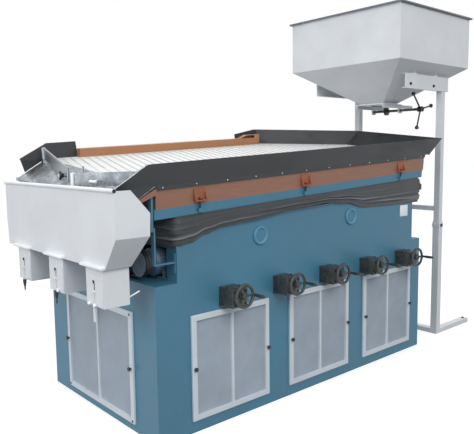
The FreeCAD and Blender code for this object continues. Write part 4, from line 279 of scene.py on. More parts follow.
def sheet_rubber(name, base):
    """Calendered sheet rubber: matt black, dusted with grain flour in streaks."""
    skin = Skin(name)
    dust_and_painted_shade = skin.cloud(110, 5, 0.45, 0.8, skin.stretched(0.3, 1, 1))
    skin.coat(dust_and_painted_shade, base, scaled(base, 1.9))
    skin.rough(dust_and_painted_shade, 0.5, 0.75)
    skin.relief(skin.cloud(3, 2), 0.15, 0.5)
    return skin.material


def coated_cloth(name, base):
    """Coated canvas: a plain weave under a thin coat, with a dull sheen and a painted highlight on
    the crests of the folds.
    """
    skin = Skin(name, {**PAINT, "Roughness": 0.6, "Sheen Weight": 0.25, "Sheen Roughness": 0.5})
    dull = skin.mix(skin.cloud(160, 5), scaled(base, 0.7), base)
    # Painted highlight on the crests of the folds, which the mesh marks from 0 to 1.
    crest = add_node(skin.tree, "Attribute", attribute_name="crest").outputs["Fac"]
    skin.coat(crest, dull, scaled(base, 5.5))
    # Threads are about 0.6 mm apart; drawn at 7.9 mm so that the weave shows.
    skin.relief(skin.weave(7.8957, ("X", "Z")), 0.3, 0.4)
    return skin.material


def filter_cloth(name, base):
    """Pale filter pad behind fine wire mesh, a little greyer where air has drawn dust in."""
    skin = Skin(name, {**PAINT, "Roughness": 0.7})
    # The wires are 1.6 mm apart; drawn at 7.9 mm so that the mesh shows in a close view.
    grid = skin.weave(7.8957, ("X", "Z"))
    tone = skin.mix(skin.cloud(150, 5, 0.3, 0.7), scaled(base, 0.84), scaled(base, 1.05))
    skin.coat(grid, tone, scaled(base, 1.18))
    skin.relief(grid, 0.15, 0.3)
    return skin.material


def painted_casting(name, base):
    """Sand casting under black gloss: a grainy skin, with soft highlights painted on in random
    patches.
    """
    skin = Skin(name)
    grit = skin.cloud(4, 3)
    # Painted highlights: random patches up to 2.2 times lighter.
    skin.coat(skin.cloud(25, 3), base, scaled(base, 2.2))
    skin.rough(grit, 0.25, 0.5)
    skin.relief(grit, 0.5, 0.6)
    return skin.material


def moulded_plastic(name, base):
    """Moulded phenolic plastic: black, smooth, slightly glossy."""
    skin = Skin(name, {**PAINT, "Roughness": 0.3})
    skin.coat(skin.cloud(8), base, scaled(base, 1.4))
    skin.relief(skin.cloud(2, 2), 0.05, 0.3)
    return skin.material


def turned_steel(name, base):
    """Turned steel, bright or blackened: shiny, with tool marks 16 mm long, 2 mm wide."""
    skin = Skin(name, METAL)
    marks = skin.cloud(16, 3, place=skin.stretched(1, 8, 8))
    skin.coat(marks, base, scaled(base, 0.75))
    skin.rough(marks, 0.22, 0.42)
    skin.relief(marks, 0.05, 0.4)
    return skin.material


def deck_cloth(name, base):
    """White woven wire cover: fine threads in both directions along the deck."""
    skin = Skin(name, {**PAINT, "Roughness": 0.55})
    # The wires are 1 mm apart; drawn at 11.8 mm so that the weave shows.
    weave = skin.weave(11.8435, ("X", "Y"))
    tone = skin.mix(skin.cloud(200, 4), scaled(base, 0.93), base)
    woven = skin.mix(weave, tone, scaled(base, 0.95))
    # Painted shadow: grey lines along each riffle. They stand 59.3 mm apart, 17 degrees off the
    # deck's length, and the phase brings the lines onto them.
    across = (DECK_TILT @ Matrix.Rotation(math.radians(-17), 4, "Z")).to_euler()
    on_riffles = add_node(skin.tree, "Mapping", {"Vector": skin.place, "Rotation": across,
                                                 "Location": DECK.translation},
                          vector_type="TEXTURE")
    lines = add_node(skin.tree, "TexWave", {"Vector": on_riffles.outputs[0],
                                            "Scale": wave_scale(59.3), "Phase Offset": 1.47})
    # Mask of the painted shadow along the riffles.
    dust_and_painted_shade = add_node(skin.tree, "MapRange", {"Value": lines.outputs["Fac"], "From Min": 0.7,
                                            "To Max": 0.5}).outputs[0]
    skin.coat(dust_and_painted_shade, woven, scaled(base, 0.5))
    skin.relief(weave, 0.3, 0.4)
    return skin.material


FINISHES = {}


def make_finishes(colours):
    """One material for each material slot of the record, and a few for fine pieces."""
    FINISHES.update({
        "teal_paint": hammered_enamel("teal_hammered_enamel", colours.cabinet),
        "light_paint": satin_enamel("grey_satin_enamel", colours.hopper),
        "filter_paint": satin_enamel("filter_rail_enamel", colours.filter_rail),
        "ring_paint": satin_enamel("port_ring_enamel", colours.ring),
        "lip_paint": satin_enamel("white_satin_enamel", colours.lip),
        "rim_paint": satin_enamel("dark_grey_angle_enamel", colours.rim),
        "brown_paint": beam_paint("brown_beam_enamel", colours.beam),
        "back_bar_paint": beam_paint("orange_bar_enamel", colours.back_bar),
        "clamp_paint": beam_paint("clamp_enamel", colours.clamp),
        "black_bolt": turned_steel("blackened_bolt_steel", linear("#3A3D40")),
        "dark_iron": painted_casting("black_painted_casting", colours.casting),
        "bright_steel": turned_steel("turned_steel", linear("#AEB3B8")),
        "zinc_sheet": galvanised_sheet("galvanised_sheet"),
        "filter_cloth": filter_cloth("filter_pad_and_mesh", colours.filter_pad),
        "black_plastic": moulded_plastic("black_phenolic", linear("#15161A")),
        "wall_rubber": sheet_rubber("black_sheet_rubber", colours.rubber),
        "bellows_cloth": coated_cloth("coated_canvas", colours.cloth),
        "belt_rubber": sheet_rubber("belt_rubber", linear("#1B1B1B")),
        "motor_paint": hammered_enamel("motor_enamel", colours.motor),
        "deck_sheet": deck_cloth("white_woven_deck_cover", colours.deck),
    })


def put(name, data):
    """New object in the scene, at the origin."""
    made = bpy.data.objects.new(name, data)
    bpy.context.scene.collection.objects.link(made)
    return made


def paint(piece, finish):
    """Gives a piece one finish."""
    piece.data.materials.clear()
    piece.data.materials.append(FINISHES[finish])


class SEPARATOR_OT_finish_solids(bpy.types.Operator):
    """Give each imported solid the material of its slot"""
    bl_idname = "separator.finish_solids"
    bl_label = "Finish Solids"

    def execute(self, context):
        make_finishes(context.scene.separator_colours)
        for row in frame["record"]["subparts"]:
            node, finish = row["node"], row["material_slot"]
            if node.startswith("filter_frame"):
                finish = "filter_paint"
            if node == "deck_clamps":
                finish = "clamp_paint"
            paint(frame["nodes"][node], finish)
        return {"FINISHED"}


def link_piece(name, bm, finish, body, *nodes, angle=38, slot=None):
    """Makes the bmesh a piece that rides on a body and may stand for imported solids."""
    bmesh.ops.remove_doubles(bm, verts=bm.verts, dist=0.00002)
    bmesh.ops.recalc_face_normals(bm, faces=bm.faces)
    mesh = bpy.data.meshes.new(name)
    bm.to_mesh(mesh)
    bm.free()
    mesh.shade_smooth()
    mesh.set_sharp_from_angle(angle=math.radians(angle))
    piece = put(name, mesh)
    paint(piece, finish)
    if body:
        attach(piece, body)
    if nodes:
        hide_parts(*nodes)
    return piece


def facing(place, axis):
    """Matrix that puts the origin at a place and +Z along an axis."""
    return Matrix.Translation(place) @ Vector(axis).to_track_quat("Z", "Y").to_matrix().to_4x4()


def add_block(bm, low, high, edge=0.0, matrix=None):
    """Block between two corners, in metres, with rounded edges."""
    low, high = Vector(low), Vector(high)
    whole = Matrix.Translation((low + high) / 2) @ Matrix.Diagonal((*(high - low), 1))
    made = bmesh.ops.create_cube(bm, size=1, matrix=whole)
    verts = made["verts"]
    if edge:
        edges = list({e for v in verts for e in v.link_edges})
        rounded = bmesh.ops.bevel(bm, geom=edges, offset=edge, segments=2, profile=0.5,
                                  affect="EDGES", material=-1)
        verts = [v for v in rounded["verts"] if v.is_valid] + [v for v in verts if v.is_valid]
    if matrix is not None:
        bmesh.ops.transform(bm, matrix=matrix, verts=list(set(verts)))


def add_rod(bm, start, end, radius, segments=20):
    """Round rod between two points, in metres."""
    way = end - start
    middle = facing((start + end) / 2, way)
    return bmesh.ops.create_cone(bm, cap_ends=True, segments=segments, radius1=radius,
                                 radius2=radius, depth=way.length, matrix=middle)["verts"]


def add_ball(bm, place, radius):
    """Ball, in metres."""
    bmesh.ops.create_uvsphere(bm, u_segments=24, v_segments=16, radius=radius,
                              matrix=Matrix.Translation(place))


def add_turned(bm, place, axis, profile, steps=40):
    """Outline of (radius, height) in millimetres spun round an axis."""
    matrix = facing(place, axis)
    verts = [bm.verts.new(matrix @ Vector((r * MM, 0, h * MM))) for r, h in profile]
    edges = [bm.edges.new(pair) for pair in zip(verts, verts[1:])]
    bmesh.ops.spin(bm, geom=verts + edges, cent=place, axis=Vector(axis).normalized(),
                   angle=math.tau, steps=steps, use_merge=True)


def add_ring(bm, place, axis, radius, thick, steps, sides):
    """Round ring: a circle of radius thick spun round an axis."""
    matrix = facing(place, axis)
    made = bmesh.ops.create_circle(bm, segments=sides, radius=thick,
                                   matrix=matrix @ Matrix.Translation((radius, 0, 0))
                                   @ Matrix.Rotation(math.pi / 2, 4, "X"))
    edges = list({e for v in made["verts"] for e in v.link_edges})
    bmesh.ops.spin(bm, geom=made["verts"] + edges, cent=place, axis=Vector(axis).normalized(),
                   angle=math.tau, steps=steps, use_merge=True)


def add_bolt(bm, place, axis, radius, washer=True):
    """Hex bolt head on a washer; radius is the thread's, in metres."""
    axis = Vector(axis).normalized()
    lift = 0.0
    if washer:
        lift = 0.3 * radius
        add_rod(bm, place - axis * 0.0005, place + axis * lift, radius * 2.1)
    head = add_rod(bm, place + axis * lift, place + axis * (lift + radius * 1.2), radius * 1.75, 6)
    edges = list({e for v in head for e in v.link_edges})
    bmesh.ops.bevel(bm, geom=edges, offset=radius * 0.12, segments=1, profile=0.5,
                    affect="EDGES", material=-1)


def add_screw(bm, place, axis, radius):
    """Domed screw head."""
    dome = [(0, 0.62), (0.35, 0.58), (0.7, 0.45), (0.93, 0.25), (1, 0), (0, 0)]
    add_turned(bm, place, axis, [(r * radius / MM, h * radius / MM) for r, h in dome], 12)


def smooth_step(value, low, high):
    """0 below low, 1 above high, smooth between."""
    share = min(1, max(0, (value - low) / (high - low)))
    return share * share * (3 - 2 * share)


def between(table, x):
    """Value at x of a line through the (x, value) rows, eased at each row."""
    for (x0, a), (x1, b) in zip(table, table[1:]):
        if x <= x1:
            return a + (b - a) * smooth_step(x, x0, x1)
    return table[-1][1]


class SEPARATOR_OT_bellows(bpy.types.Operator):
    """Hang the gathered cloth skirt between the deck and the cabinet"""
    bl_idname = "separator.bellows"
    bl_label = "Bellows Cloth"

    # Hem height along the front, and the same line followed round the back, in millimetres.
    HEM = ((100, 1108), (245, 1129), (353, 1168), (482, 1200), (624, 1216), (1156, 1262),
           (1408, 1280), (1592, 1268), (1848, 1216), (2164, 1211), (2600, 1213))
    # Level of each long fold, from hem to top, with its width and its height in millimetres.
    FOLDS = ((0.12, 0.055, 13), (0.29, 0.05, 16), (0.45, 0.055, 14), (0.6, 0.05, 15),
             (0.78, 0.055, 10))
    ROWS = 46
    STEP = 11.0
    # Heights on the deck: the cloth's fixed edge and the lower rim of the deck's subframe.
    TOP, RIM = -189, -262

    def ring(self):
        """Points round the cabinet with the outward way at each, in millimetres."""
        low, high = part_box("bellows")
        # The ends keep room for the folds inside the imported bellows.
        x0 = (low.x - LEFT) / MM + 20
        x1 = (high.x - LEFT) / MM - 18
        y0, y1, bend = -3.0, 1323.0, 34.0
        corners = ((x0, y0, 180), (x1, y0, 270), (x1, y1, 0), (x0, y1, 90))
        points = []
        for k, (x, y, start) in enumerate(corners):
            cx = x + (bend if x == x0 else -bend)
            cy = y + (bend if y == y0 else -bend)
            for turn in range(0, 91, 15):
                way = math.radians(start + turn)
                out = Vector((math.cos(way), math.sin(way), 0))
                points.append((Vector((cx, cy, 0)) + out * bend, out))
            nx, ny = corners[(k + 1) % 4][:2]
            gap = (Vector((nx, ny, 0)) - Vector((x, y, 0))).length - 2 * bend
            count = int(gap / self.STEP)
            last, out = points[-1]
            ahead = Vector((-out.y, out.x, 0))
            points += [(last + ahead * gap * i / count, out) for i in range(1, count)]
        return points

    def execute(self, context):
        ring = self.ring()
        bm = bmesh.new()
        bmesh.ops.create_grid(bm, x_segments=len(ring), y_segments=self.ROWS, size=0.5)
        travelled = [0.0]
        for (a, _), (b, _) in zip(ring, ring[1:] + ring[:1]):
            travelled.append(travelled[-1] + (b - a).length)
        # The crest layer holds the painted highlight on the crests of the folds.
        crest = bm.verts.layers.float.new("crest")
        for vert in bm.verts:
            i = round((vert.co.x + 0.5) * len(ring))
            share = vert.co.y + 0.5
            point, out = ring[i % len(ring)]
            vert.co, vert[crest] = self.hang(point, out, travelled[i], travelled[-1], share)
        cloth = link_piece("bellows_cloth", bm, "bellows_cloth", None, angle=180)
        skin = cloth.modifiers.new("thickness", "SOLIDIFY")
        skin.thickness = 0.0025
        skin.offset = -1
        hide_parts("bellows")
        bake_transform(cloth)
        return {"FINISHED"}

    def hang(self, point, out, along, total, share):
        """Place of one point of the cloth, and its painted highlight on the crests of the folds.

        share is 0 at the hem and 1 at the top.
        """
        u, v = point.x, point.y + DECK_AHEAD
        top = on_deck(u, v, self.TOP).z / MM
        hem = between(self.HEM, 150 if out.x < -0.5 else point.x)
        rim = on_deck(u, v, self.RIM).z / MM
        height = hem + (top - hem) * share
        turn = along / total * math.tau
        walk = Vector((math.cos(turn), math.sin(turn), 0)) * (total * MM / math.tau)
        # Long folds run nearly level and drift up and down as the cloth was pulled round.
        crest = 0.0
        for k, (level, width, rise) in enumerate(self.FOLDS):
            drift = 0.16 * noise.noise(walk * 0.9 + Vector((7 * k, 3, 0)))
            drift += 0.05 * noise.noise(walk * 2.3 + Vector((5 * k, 9, 0)))
            strength = 0.65 + 0.9 * noise.noise(walk * 1.1 + Vector((0, 11 * k, 5)))
            bulge = math.exp(-((share - level - drift) / width) ** 2)
            crest += rise * max(0.12, strength) * bulge
        wrinkle = noise.noise(Vector((walk.x * 4, walk.y * 4, share * 9 + 2 * walk.x)))
        belly = math.sin(math.pi * min(1, share * 1.02)) ** 0.6
        pouch = 10 * smooth_step(430 - point.x, 0, 230) * smooth_step(0.75 - share, 0, 0.5)
        lean = 12 * smooth_step(height, rim - 12, rim + 10) * (1 - smooth_step(share, 0.9, 1))
        offset = 2 + lean + belly * (6 + crest + 2.5 * wrinkle + pouch)
        # The rim's corners are square, so the cloth is pushed further out round them.
        corner = 28 * abs(out.x * out.y)
        offset = max(offset, 19 + corner if abs(height - rim) < 24 else 3)
        if share > 0.97:
            offset = min(offset, 5)
        droop = -belly * 0.5 * crest
        place = point + out * offset
        # Painted highlight on the crests of the folds, weaker towards the top.
        painted_highlight = smooth_step(crest + 2.5 * wrinkle, 5, 18) * belly
        painted_highlight *= 1 - 0.6 * smooth_step(share, 0.55, 1)
        return spot(place.x, place.y, height + droop), painted_highlight


class SEPARATOR_OT_handwheels(bpy.types.Operator):
    """Turn the five spoked handwheels with their crank grips"""
    bl_idname = "separator.handwheels"
    bl_label = "Handwheels"

    RADIUS, CRANK = 0.075, 0.066
    HUB = ((0, 14), (8, 14), (11, 12), (19, 11), (23, 5), (23, -20), (17, -27), (9, -27),
           (9, -140), (0, -140))
    GRIP = ((0, -4), (7, -4), (7, 12), (9, 13), (9, 16), (8, 18), (9.6, 30), (11, 48), (10.6, 70),
            (9, 90), (7, 98.5), (3, 101.5), (0, 102))

    def execute(self, context):
        rim = context.scene.separator_sizes.wheel_rim
        for number, x in enumerate(WHEEL_X, 1):
            bm = bmesh.new()
            centre = spot(x, -165, WHEEL_Z)
            add_ring(bm, centre, Y_AXIS, self.RADIUS - rim, rim, 48, 14)
            add_turned(bm, centre, -Y_AXIS, self.HUB, 32)
            for turn in (0, 120, 240):
                self.spoke(bm, centre, Matrix.Rotation(math.radians(turn), 3, "Y") @ X_AXIS)
            add_turned(bm, centre + X_AXIS * self.CRANK, -Y_AXIS, self.GRIP, 20)
            node = "handwheel_%d" % number
            link_piece(node + "_wheel", bm, "dark_iron", node, node)
        return {"FINISHED"}

    @staticmethod
    def spoke(bm, centre, way):
        """Oval spoke, wider at the hub, from hub to rim."""
        made = bmesh.ops.create_cone(bm, cap_ends=True, segments=12, radius1=0.009, radius2=0.006,
                                     depth=0.052, matrix=facing(centre + way * 0.040, way))
        for vert in made["verts"]:
            away = (vert.co - centre).dot(Y_AXIS)
            vert.co -= Y_AXIS * away * 0.35


class SEPARATOR_OT_knobs(bpy.types.Operator):
    """Mould the fluted knobs that hold the filters"""
    bl_idname = "separator.knobs"
    bl_label = "Hand Knobs"

    RADIUS, INSET, AHEAD = 0.0130, 16, -15
    # Outline as shares of a knob's radius.
    OUTLINE = ((0, 0), (0.5, 0), (0.55, 0.55), (0.9, 0.72), (1, 0.9), (1, 1.25), (0.9, 1.45),
               (0.62, 1.52), (0.55, 1.42), (0, 1.4))

    def execute(self, context):
        bm = bmesh.new()
        for start in FILTER_STARTS:
            for x in (start + self.INSET, start + FILTER_WIDTH - self.INSET):
                self.knob(bm, spot(x, self.AHEAD, 390), -Y_AXIS, self.RADIUS)
        for y in END_FILTER_Y:
            self.knob(bm, spot(self.AHEAD, y, 388.5), -X_AXIS, self.RADIUS)
        link_piece("filter_hand_knobs", bm, "black_plastic", "machine", "filter_knobs")
        return {"FINISHED"}

    @classmethod
    def knob(cls, bm, place, axis, radius, flat=1.0):
        """Eight-lobed knob on a neck with a recessed face; flat scales its height."""
        size = radius / MM
        before = set(bm.verts)
        add_turned(bm, place, axis, [(r * size, h * size * flat) for r, h in cls.OUTLINE], 48)
        outward = facing(place, axis)
        inward = outward.inverted()
        for vert in [v for v in bm.verts if v not in before]:
            local = inward @ vert.co
            far = math.hypot(local.x, local.y)
            if far > 0.8 * radius:
                dip = 1 - 0.09 * (0.5 - 0.5 * math.cos(8 * math.atan2(local.y, local.x)))
                local.x, local.y = local.x * dip, local.y * dip
                vert.co = outward @ local


class SEPARATOR_OT_air_controls(bpy.types.Operator):
    """Cast the five gearboxes, bolt them up, and press the two round port covers"""
    bl_idname = "separator.air_controls"
    bl_label = "Gearboxes and Ports"

    # Gearbox body, flange and cover: half width, front, bottom, back, top, and edge in metres.
    BLOCKS = ((60, -125, 730, -7, 845, 0.007), (60, -8, 722, 0, 845, 0.002),
              (50, -129, 740, -124, 835, 0.002))
    BOSS = ((9.1, 0), (26, 0), (22, 3), (22, 8), (20, 9), (9.1, 9), (9.1, 0))
    RING = ((38, 0), (60, 0), (60, 7), (57, 12), (52, 14), (47, 13), (43, 9), (40, 5), (38, 5),
            (38, 0))
    DISC = ((0, 0), (39, 0), (39, 5), (30, 6), (0, 7))

    def execute(self, context):
        castings, bolts = bmesh.new(), bmesh.new()
        for x in WHEEL_X:
            for half, front, bottom, back, top, edge in self.BLOCKS:
                add_block(castings, spot(x - half, front, bottom), spot(x + half, back, top), edge)
            add_turned(castings, spot(x, -128, WHEEL_Z), -Y_AXIS, self.BOSS)
            for side in (-1, 1):
                for z in (749, 826):
                    add_bolt(bolts, spot(x + 41 * side, -129, z), -Y_AXIS, 0.0035, washer=False)
                add_bolt(bolts, spot(x + 48 * side, -60, 845), Z_AXIS, 0.0035, washer=False)
        link_piece("air_gearbox_castings", castings, "dark_iron", "machine", "air_gearboxes")
        link_piece("air_gearbox_bolts", bolts, "black_bolt", "machine", slot="dark_iron")
        rings, discs = bmesh.new(), bmesh.new()
        low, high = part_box("port_covers")
        reach = max(r for r, _ in self.RING)
        for x, z in ((790, low.z / MM + reach), (1690, high.z / MM - reach)):
            add_turned(rings, spot(x, 0, z), -Y_AXIS, self.RING, 64)
            add_turned(discs, spot(x, 0, z), -Y_AXIS, self.DISC, 64)
        link_piece("port_cover_rings", rings, "ring_paint", "machine", "port_covers")
        link_piece("port_cover_discs", discs, "teal_paint", "machine")
        return {"FINISHED"}


class SEPARATOR_OT_drive(bpy.types.Operator):
    """Turn the shaker's motor, pulleys and flat belt in the drive bay, and the fan shaft"""
    bl_idname = "separator.drive"
    bl_label = "Shaker Drive"

    # Axes across the machine, the pulleys' middle along it, and the belt's two sides.
    ECCENTRIC, MOTOR = (660, 1020), (205, 1012)
    BELT_LINE, BELT_SIDES = 46, (33, 59)
    HALF = ((17.6, -20), (40, -20), (42, -18), (42, -8), (82, -8), (84, -10), (84, -20),
            (105, -20), (105, -17), (100, -15))
    FLYWHEEL = HALF + tuple((r, -h) for r, h in reversed(HALF)) + HALF[:1]
    PULLEY = ((0, -20), (18, -20), (22, -16), (55, -16), (60, -20), (75, -20), (75, -17),
              (70, -15), (70, 15), (75, 17), (75, 20), (20, 20), (14, 24), (14, 104), (0, 104))
    CASING = ((14.1, 0), (34, 0), (38, 3), (45, 4), (70, 10), (80, 16), (82, 20), (82, 40),
              (74, 42), (74, 190), (82, 192), (82, 240), (76, 249), (0, 250), (0, 130),
              (14.1, 130), (14.1, 0))
    FINS = 28

    def execute(self, context):
        self.motor()
        wheel = bmesh.new()
        add_turned(wheel, spot(self.BELT_LINE, *self.ECCENTRIC), X_AXIS, self.FLYWHEEL, 72)
        link_piece("flywheel_rim_and_web", wheel, "dark_iron", "eccentric", "flywheel_pulley")
        small = bmesh.new()
        add_turned(small, spot(self.BELT_LINE, *self.MOTOR), X_AXIS, self.PULLEY, 64)
        link_piece("motor_pulley_turned", small, "motor_paint", "shaker_motor_rotor",
                   "shaker_motor_pulley")
        belt = bmesh.new()
        self.belt(belt, self.ECCENTRIC, 100.4, self.MOTOR, 70.4, 8.4)
        link_piece("shaker_flat_belt", belt, "belt_rubber", "machine", "shaker_belt")
        shaft = bmesh.new()
        low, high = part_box("fan_shaft")
        long = (high.x - low.x) / MM
        start = Vector((low.x, (low.y + high.y) / 2, (low.z + high.z) / 2))
        add_turned(shaft, start, X_AXIS, ((0, 0), (23, 0), (24.5, 1.5), (24.5, long - 1.5),
                                          (23, long), (0, long)), 64)
        link_piece("fan_shaft_turned", shaft, "bright_steel", "fan_rotor", "fan_shaft")
        return {"FINISHED"}

    def belt(self, bm, first, first_radius, second, second_radius, thick, steps=40):
        """Endless belt round two pulleys in the plane across the machine."""
        gap = Vector(second) - Vector(first)
        heading = math.atan2(gap.y, gap.x)
        swing = math.acos((first_radius - second_radius) / gap.length)
        arcs = ((first, first_radius, heading + swing, math.tau - 2 * swing),
                (second, second_radius, heading - swing, 2 * swing))
        left, right = self.BELT_SIDES
        rows = []
        for (y, z), radius, start, sweep in arcs:
            outer = radius + thick
            section = ((left, radius), (left, outer), (right, outer), (right, radius))
            for k in range(steps + 1):
                out = math.cos(start + sweep * k / steps), math.sin(start + sweep * k / steps)
                rows.append([bm.verts.new(spot(x, y + reach * out[0], z + reach * out[1]))
                             for x, reach in section])
        for low, high in zip(rows, rows[1:] + rows[:1]):
            for k in range(4):
                bm.faces.new((low[k - 1], low[k], high[k], high[k - 1]))

    def motor(self):
        """Foot-mounted motor with a finned body, end bell, fan cowl and terminal box."""
        bm = bmesh.new()
        place = spot(91, *self.MOTOR)
        add_turned(bm, place, X_AXIS, self.CASING, 64)
        for k in range(self.FINS):
            turn = Matrix.Rotation(math.tau * (k + 0.5) / self.FINS, 4, "X")
            add_block(bm, (0.041, -0.0015, 0.071), (0.191, 0.0015, 0.0815), 0,
                      Matrix.Translation(place) @ turn)
        add_block(bm, spot(166, 262, 979), spot(228, 311, 1045), 0.004)
        add_block(bm, spot(153, 123, 910), spot(266, 287, 922), 0.002)
        for y in (148, 262):
            add_block(bm, spot(153, y - 6, 918), spot(266, y + 6, 1000), 0.001)
        link_piece("shaker_motor_casing", bm, "motor_paint", "machine", "shaker_motor")


class SEPARATOR_OT_deck_pieces(bpy.types.Operator):
    """Add the deck's wall screws, clamp bolts, back bar skin, edge strip and blade fittings"""
    bl_idname = "separator.deck_pieces"
    bl_label = "Deck Fittings"

    # Corners on the deck of the thin plates over the back bar and its hood at the right end.
    SKIN = [((244.5, *low), (2012.4, *high)) for low, high in
            (((1320.4, 59.5), (1366.6, 60.7)), ((1320.2, 0), (1321.4, 60.2)),
             ((1365.6, 0), (1366.8, 60.2)))]
    HOOD = (((1858, 1320.2, 84.4), (2012.4, 1366.6, 86.4)),
            ((1951, 1318.6, 3), (2012.7, 1320, 86.1)),
            ((2010.2, 1320.5, 60), (2012.1, 1366.3, 85)),
            ((1858.3, 1364.4, 59.8), (2011.8, 1366.1, 85.2)))
    # Hinge and tip of each swinging blade on the deck.
    FRONT_BLADE = ((-40, 24), (-235, 440))
    REAR_BLADE = ((-22, 1325), (-200, 590))

    def execute(self, context):
        screw = context.scene.separator_sizes.screw
        bolts = bmesh.new()
        for k in range(12):
            add_screw(bolts, on_deck(52 + 228 * k, -8, -12), deck_way(0, -1, 0), screw)
        link_piece("wall_screws", bolts, "bright_steel", "deck")
        dark = bmesh.new()
        # The last clamp stands past the back bar's end, so it is in front only.
        for u in (304, 1188, 2286):
            sides = ((-11, -15), (1377, 1381)) if u < 2035 else ((-11, -15),)
            for v, nut in sides:
                add_rod(dark, on_deck(u, v, -153), on_deck(u, v, -110), 0.0052)
                add_bolt(dark, on_deck(u, nut, -104), deck_way(0, 0, 1), 0.006, washer=False)
        link_piece("clamp_bolts", dark, "black_bolt", "deck")
        bar = bmesh.new()
        for plates, edge in ((self.SKIN, 0), (self.HOOD, 0.0004)):
            for low, high in plates:
                add_block(bar, Vector(low) * MM, Vector(high) * MM, edge, DECK)
        # The hood's roof climbs 25 mm over 72 mm.
        slope = (DECK @ Matrix.Translation((1.786, 0, 0.0607))
                 @ Matrix.Rotation(-math.atan2(25, 72), 4, "Y"))
        add_block(bar, (0, 1.3202, -0.0006), (0.0762, 1.3666, 0.0014), 0.0004, slope)
        link_piece("back_bar_skin", bar, "back_bar_paint", "deck")
        strip = bmesh.new()
        add_rod(strip, on_deck(-56, -34, 125.6), on_deck(-250, -2, 2), 0.0035, 12)
        link_piece("front_lip_strip", strip, "zinc_sheet", "deck")
        self.front_blade()
        self.rear_blade()
        return {"FINISHED"}

    @staticmethod
    def blade_frame(hinge, tip):
        """Matrix whose X runs from hinge to tip, with the origin at the tip, in metres."""
        way = (Vector(tip) - Vector(hinge)).normalized()
        turn = Matrix(((way.x, -way.y, 0), (way.y, way.x, 0), (0, 0, 1))).to_4x4()
        return DECK @ Matrix.Translation((tip[0] * MM, tip[1] * MM, 0)) @ turn

    @staticmethod
    def barrel(bm, hinge):
        """Upright pivot barrel of a blade."""
        add_rod(bm, on_deck(*hinge, 7.6), on_deck(*hinge, 82.4), 0.0153, 32)

    @staticmethod
    def bar(bm, place, start, end, radius, segments=20):
        """Rod between two points of a blade's own frame, in metres."""
        add_rod(bm, place @ Vector(start), place @ Vector(end), radius, segments)

    def front_blade(self):
        """White end post and handle, an upright pin and the pivot barrel of the front blade."""
        place = self.blade_frame(*self.FRONT_BLADE)
        white = bmesh.new()
        add_block(white, (0.0034, -0.0106, -0.0466), (0.0206, 0.0106, 0.0366), 0.002, place)
        self.bar(white, place, (-0.150, 0.003, 0.005), (-0.150, 0.035, 0.005), 0.0066)
        self.bar(white, place, (-0.171, 0.034, 0.005), (-0.129, 0.034, 0.005), 0.0078)
        link_piece("front_blade_post_and_handle", white, "lip_paint", "front_blade")
        steel = bmesh.new()
        self.bar(steel, place, (-0.060, 0, 0.031), (-0.060, 0, 0.0788), 0.0056)
        self.barrel(steel, self.FRONT_BLADE[0])
        link_piece("front_blade_pin_and_barrel", steel, "bright_steel", "front_blade")

    def rear_blade(self):
        """Barrel, end post and bright top edge of the rear blade, and its lock knob."""
        place = self.blade_frame(*self.REAR_BLADE)
        steel = bmesh.new()
        self.barrel(steel, self.REAR_BLADE[0])
        self.bar(steel, place, (-0.006, 0, -0.0425), (-0.006, 0, 0.0425), 0.0074)
        self.bar(steel, place, (-0.742, 0, 0.0815), (0, 0, 0.0415), 0.0056, 14)
        link_piece("rear_blade_edge_and_barrel", steel, "bright_steel", "rear_blade")
        knob = bmesh.new()
        seat = place @ Vector((-0.070, -0.0123, -0.008))
        axis = place.to_3x3() @ -Y_AXIS
        SEPARATOR_OT_knobs.knob(knob, seat, axis, 0.026, 0.72)
        add_rod(knob, seat - axis * 0.024, seat + axis * 0.004, 0.0051)
        link_piece("blade_lock_knob_moulding", knob, "black_plastic", "blade_lock",
                   "blade_lock_knob")
        cap = bmesh.new()
        add_turned(cap, seat + axis * 0.0262, axis,
                   ((0, 0), (13, 0), (13, 2), (10, 3.4), (0, 3.8)), 32)
        link_piece("blade_lock_knob_cap", cap, "lip_paint", "blade_lock")


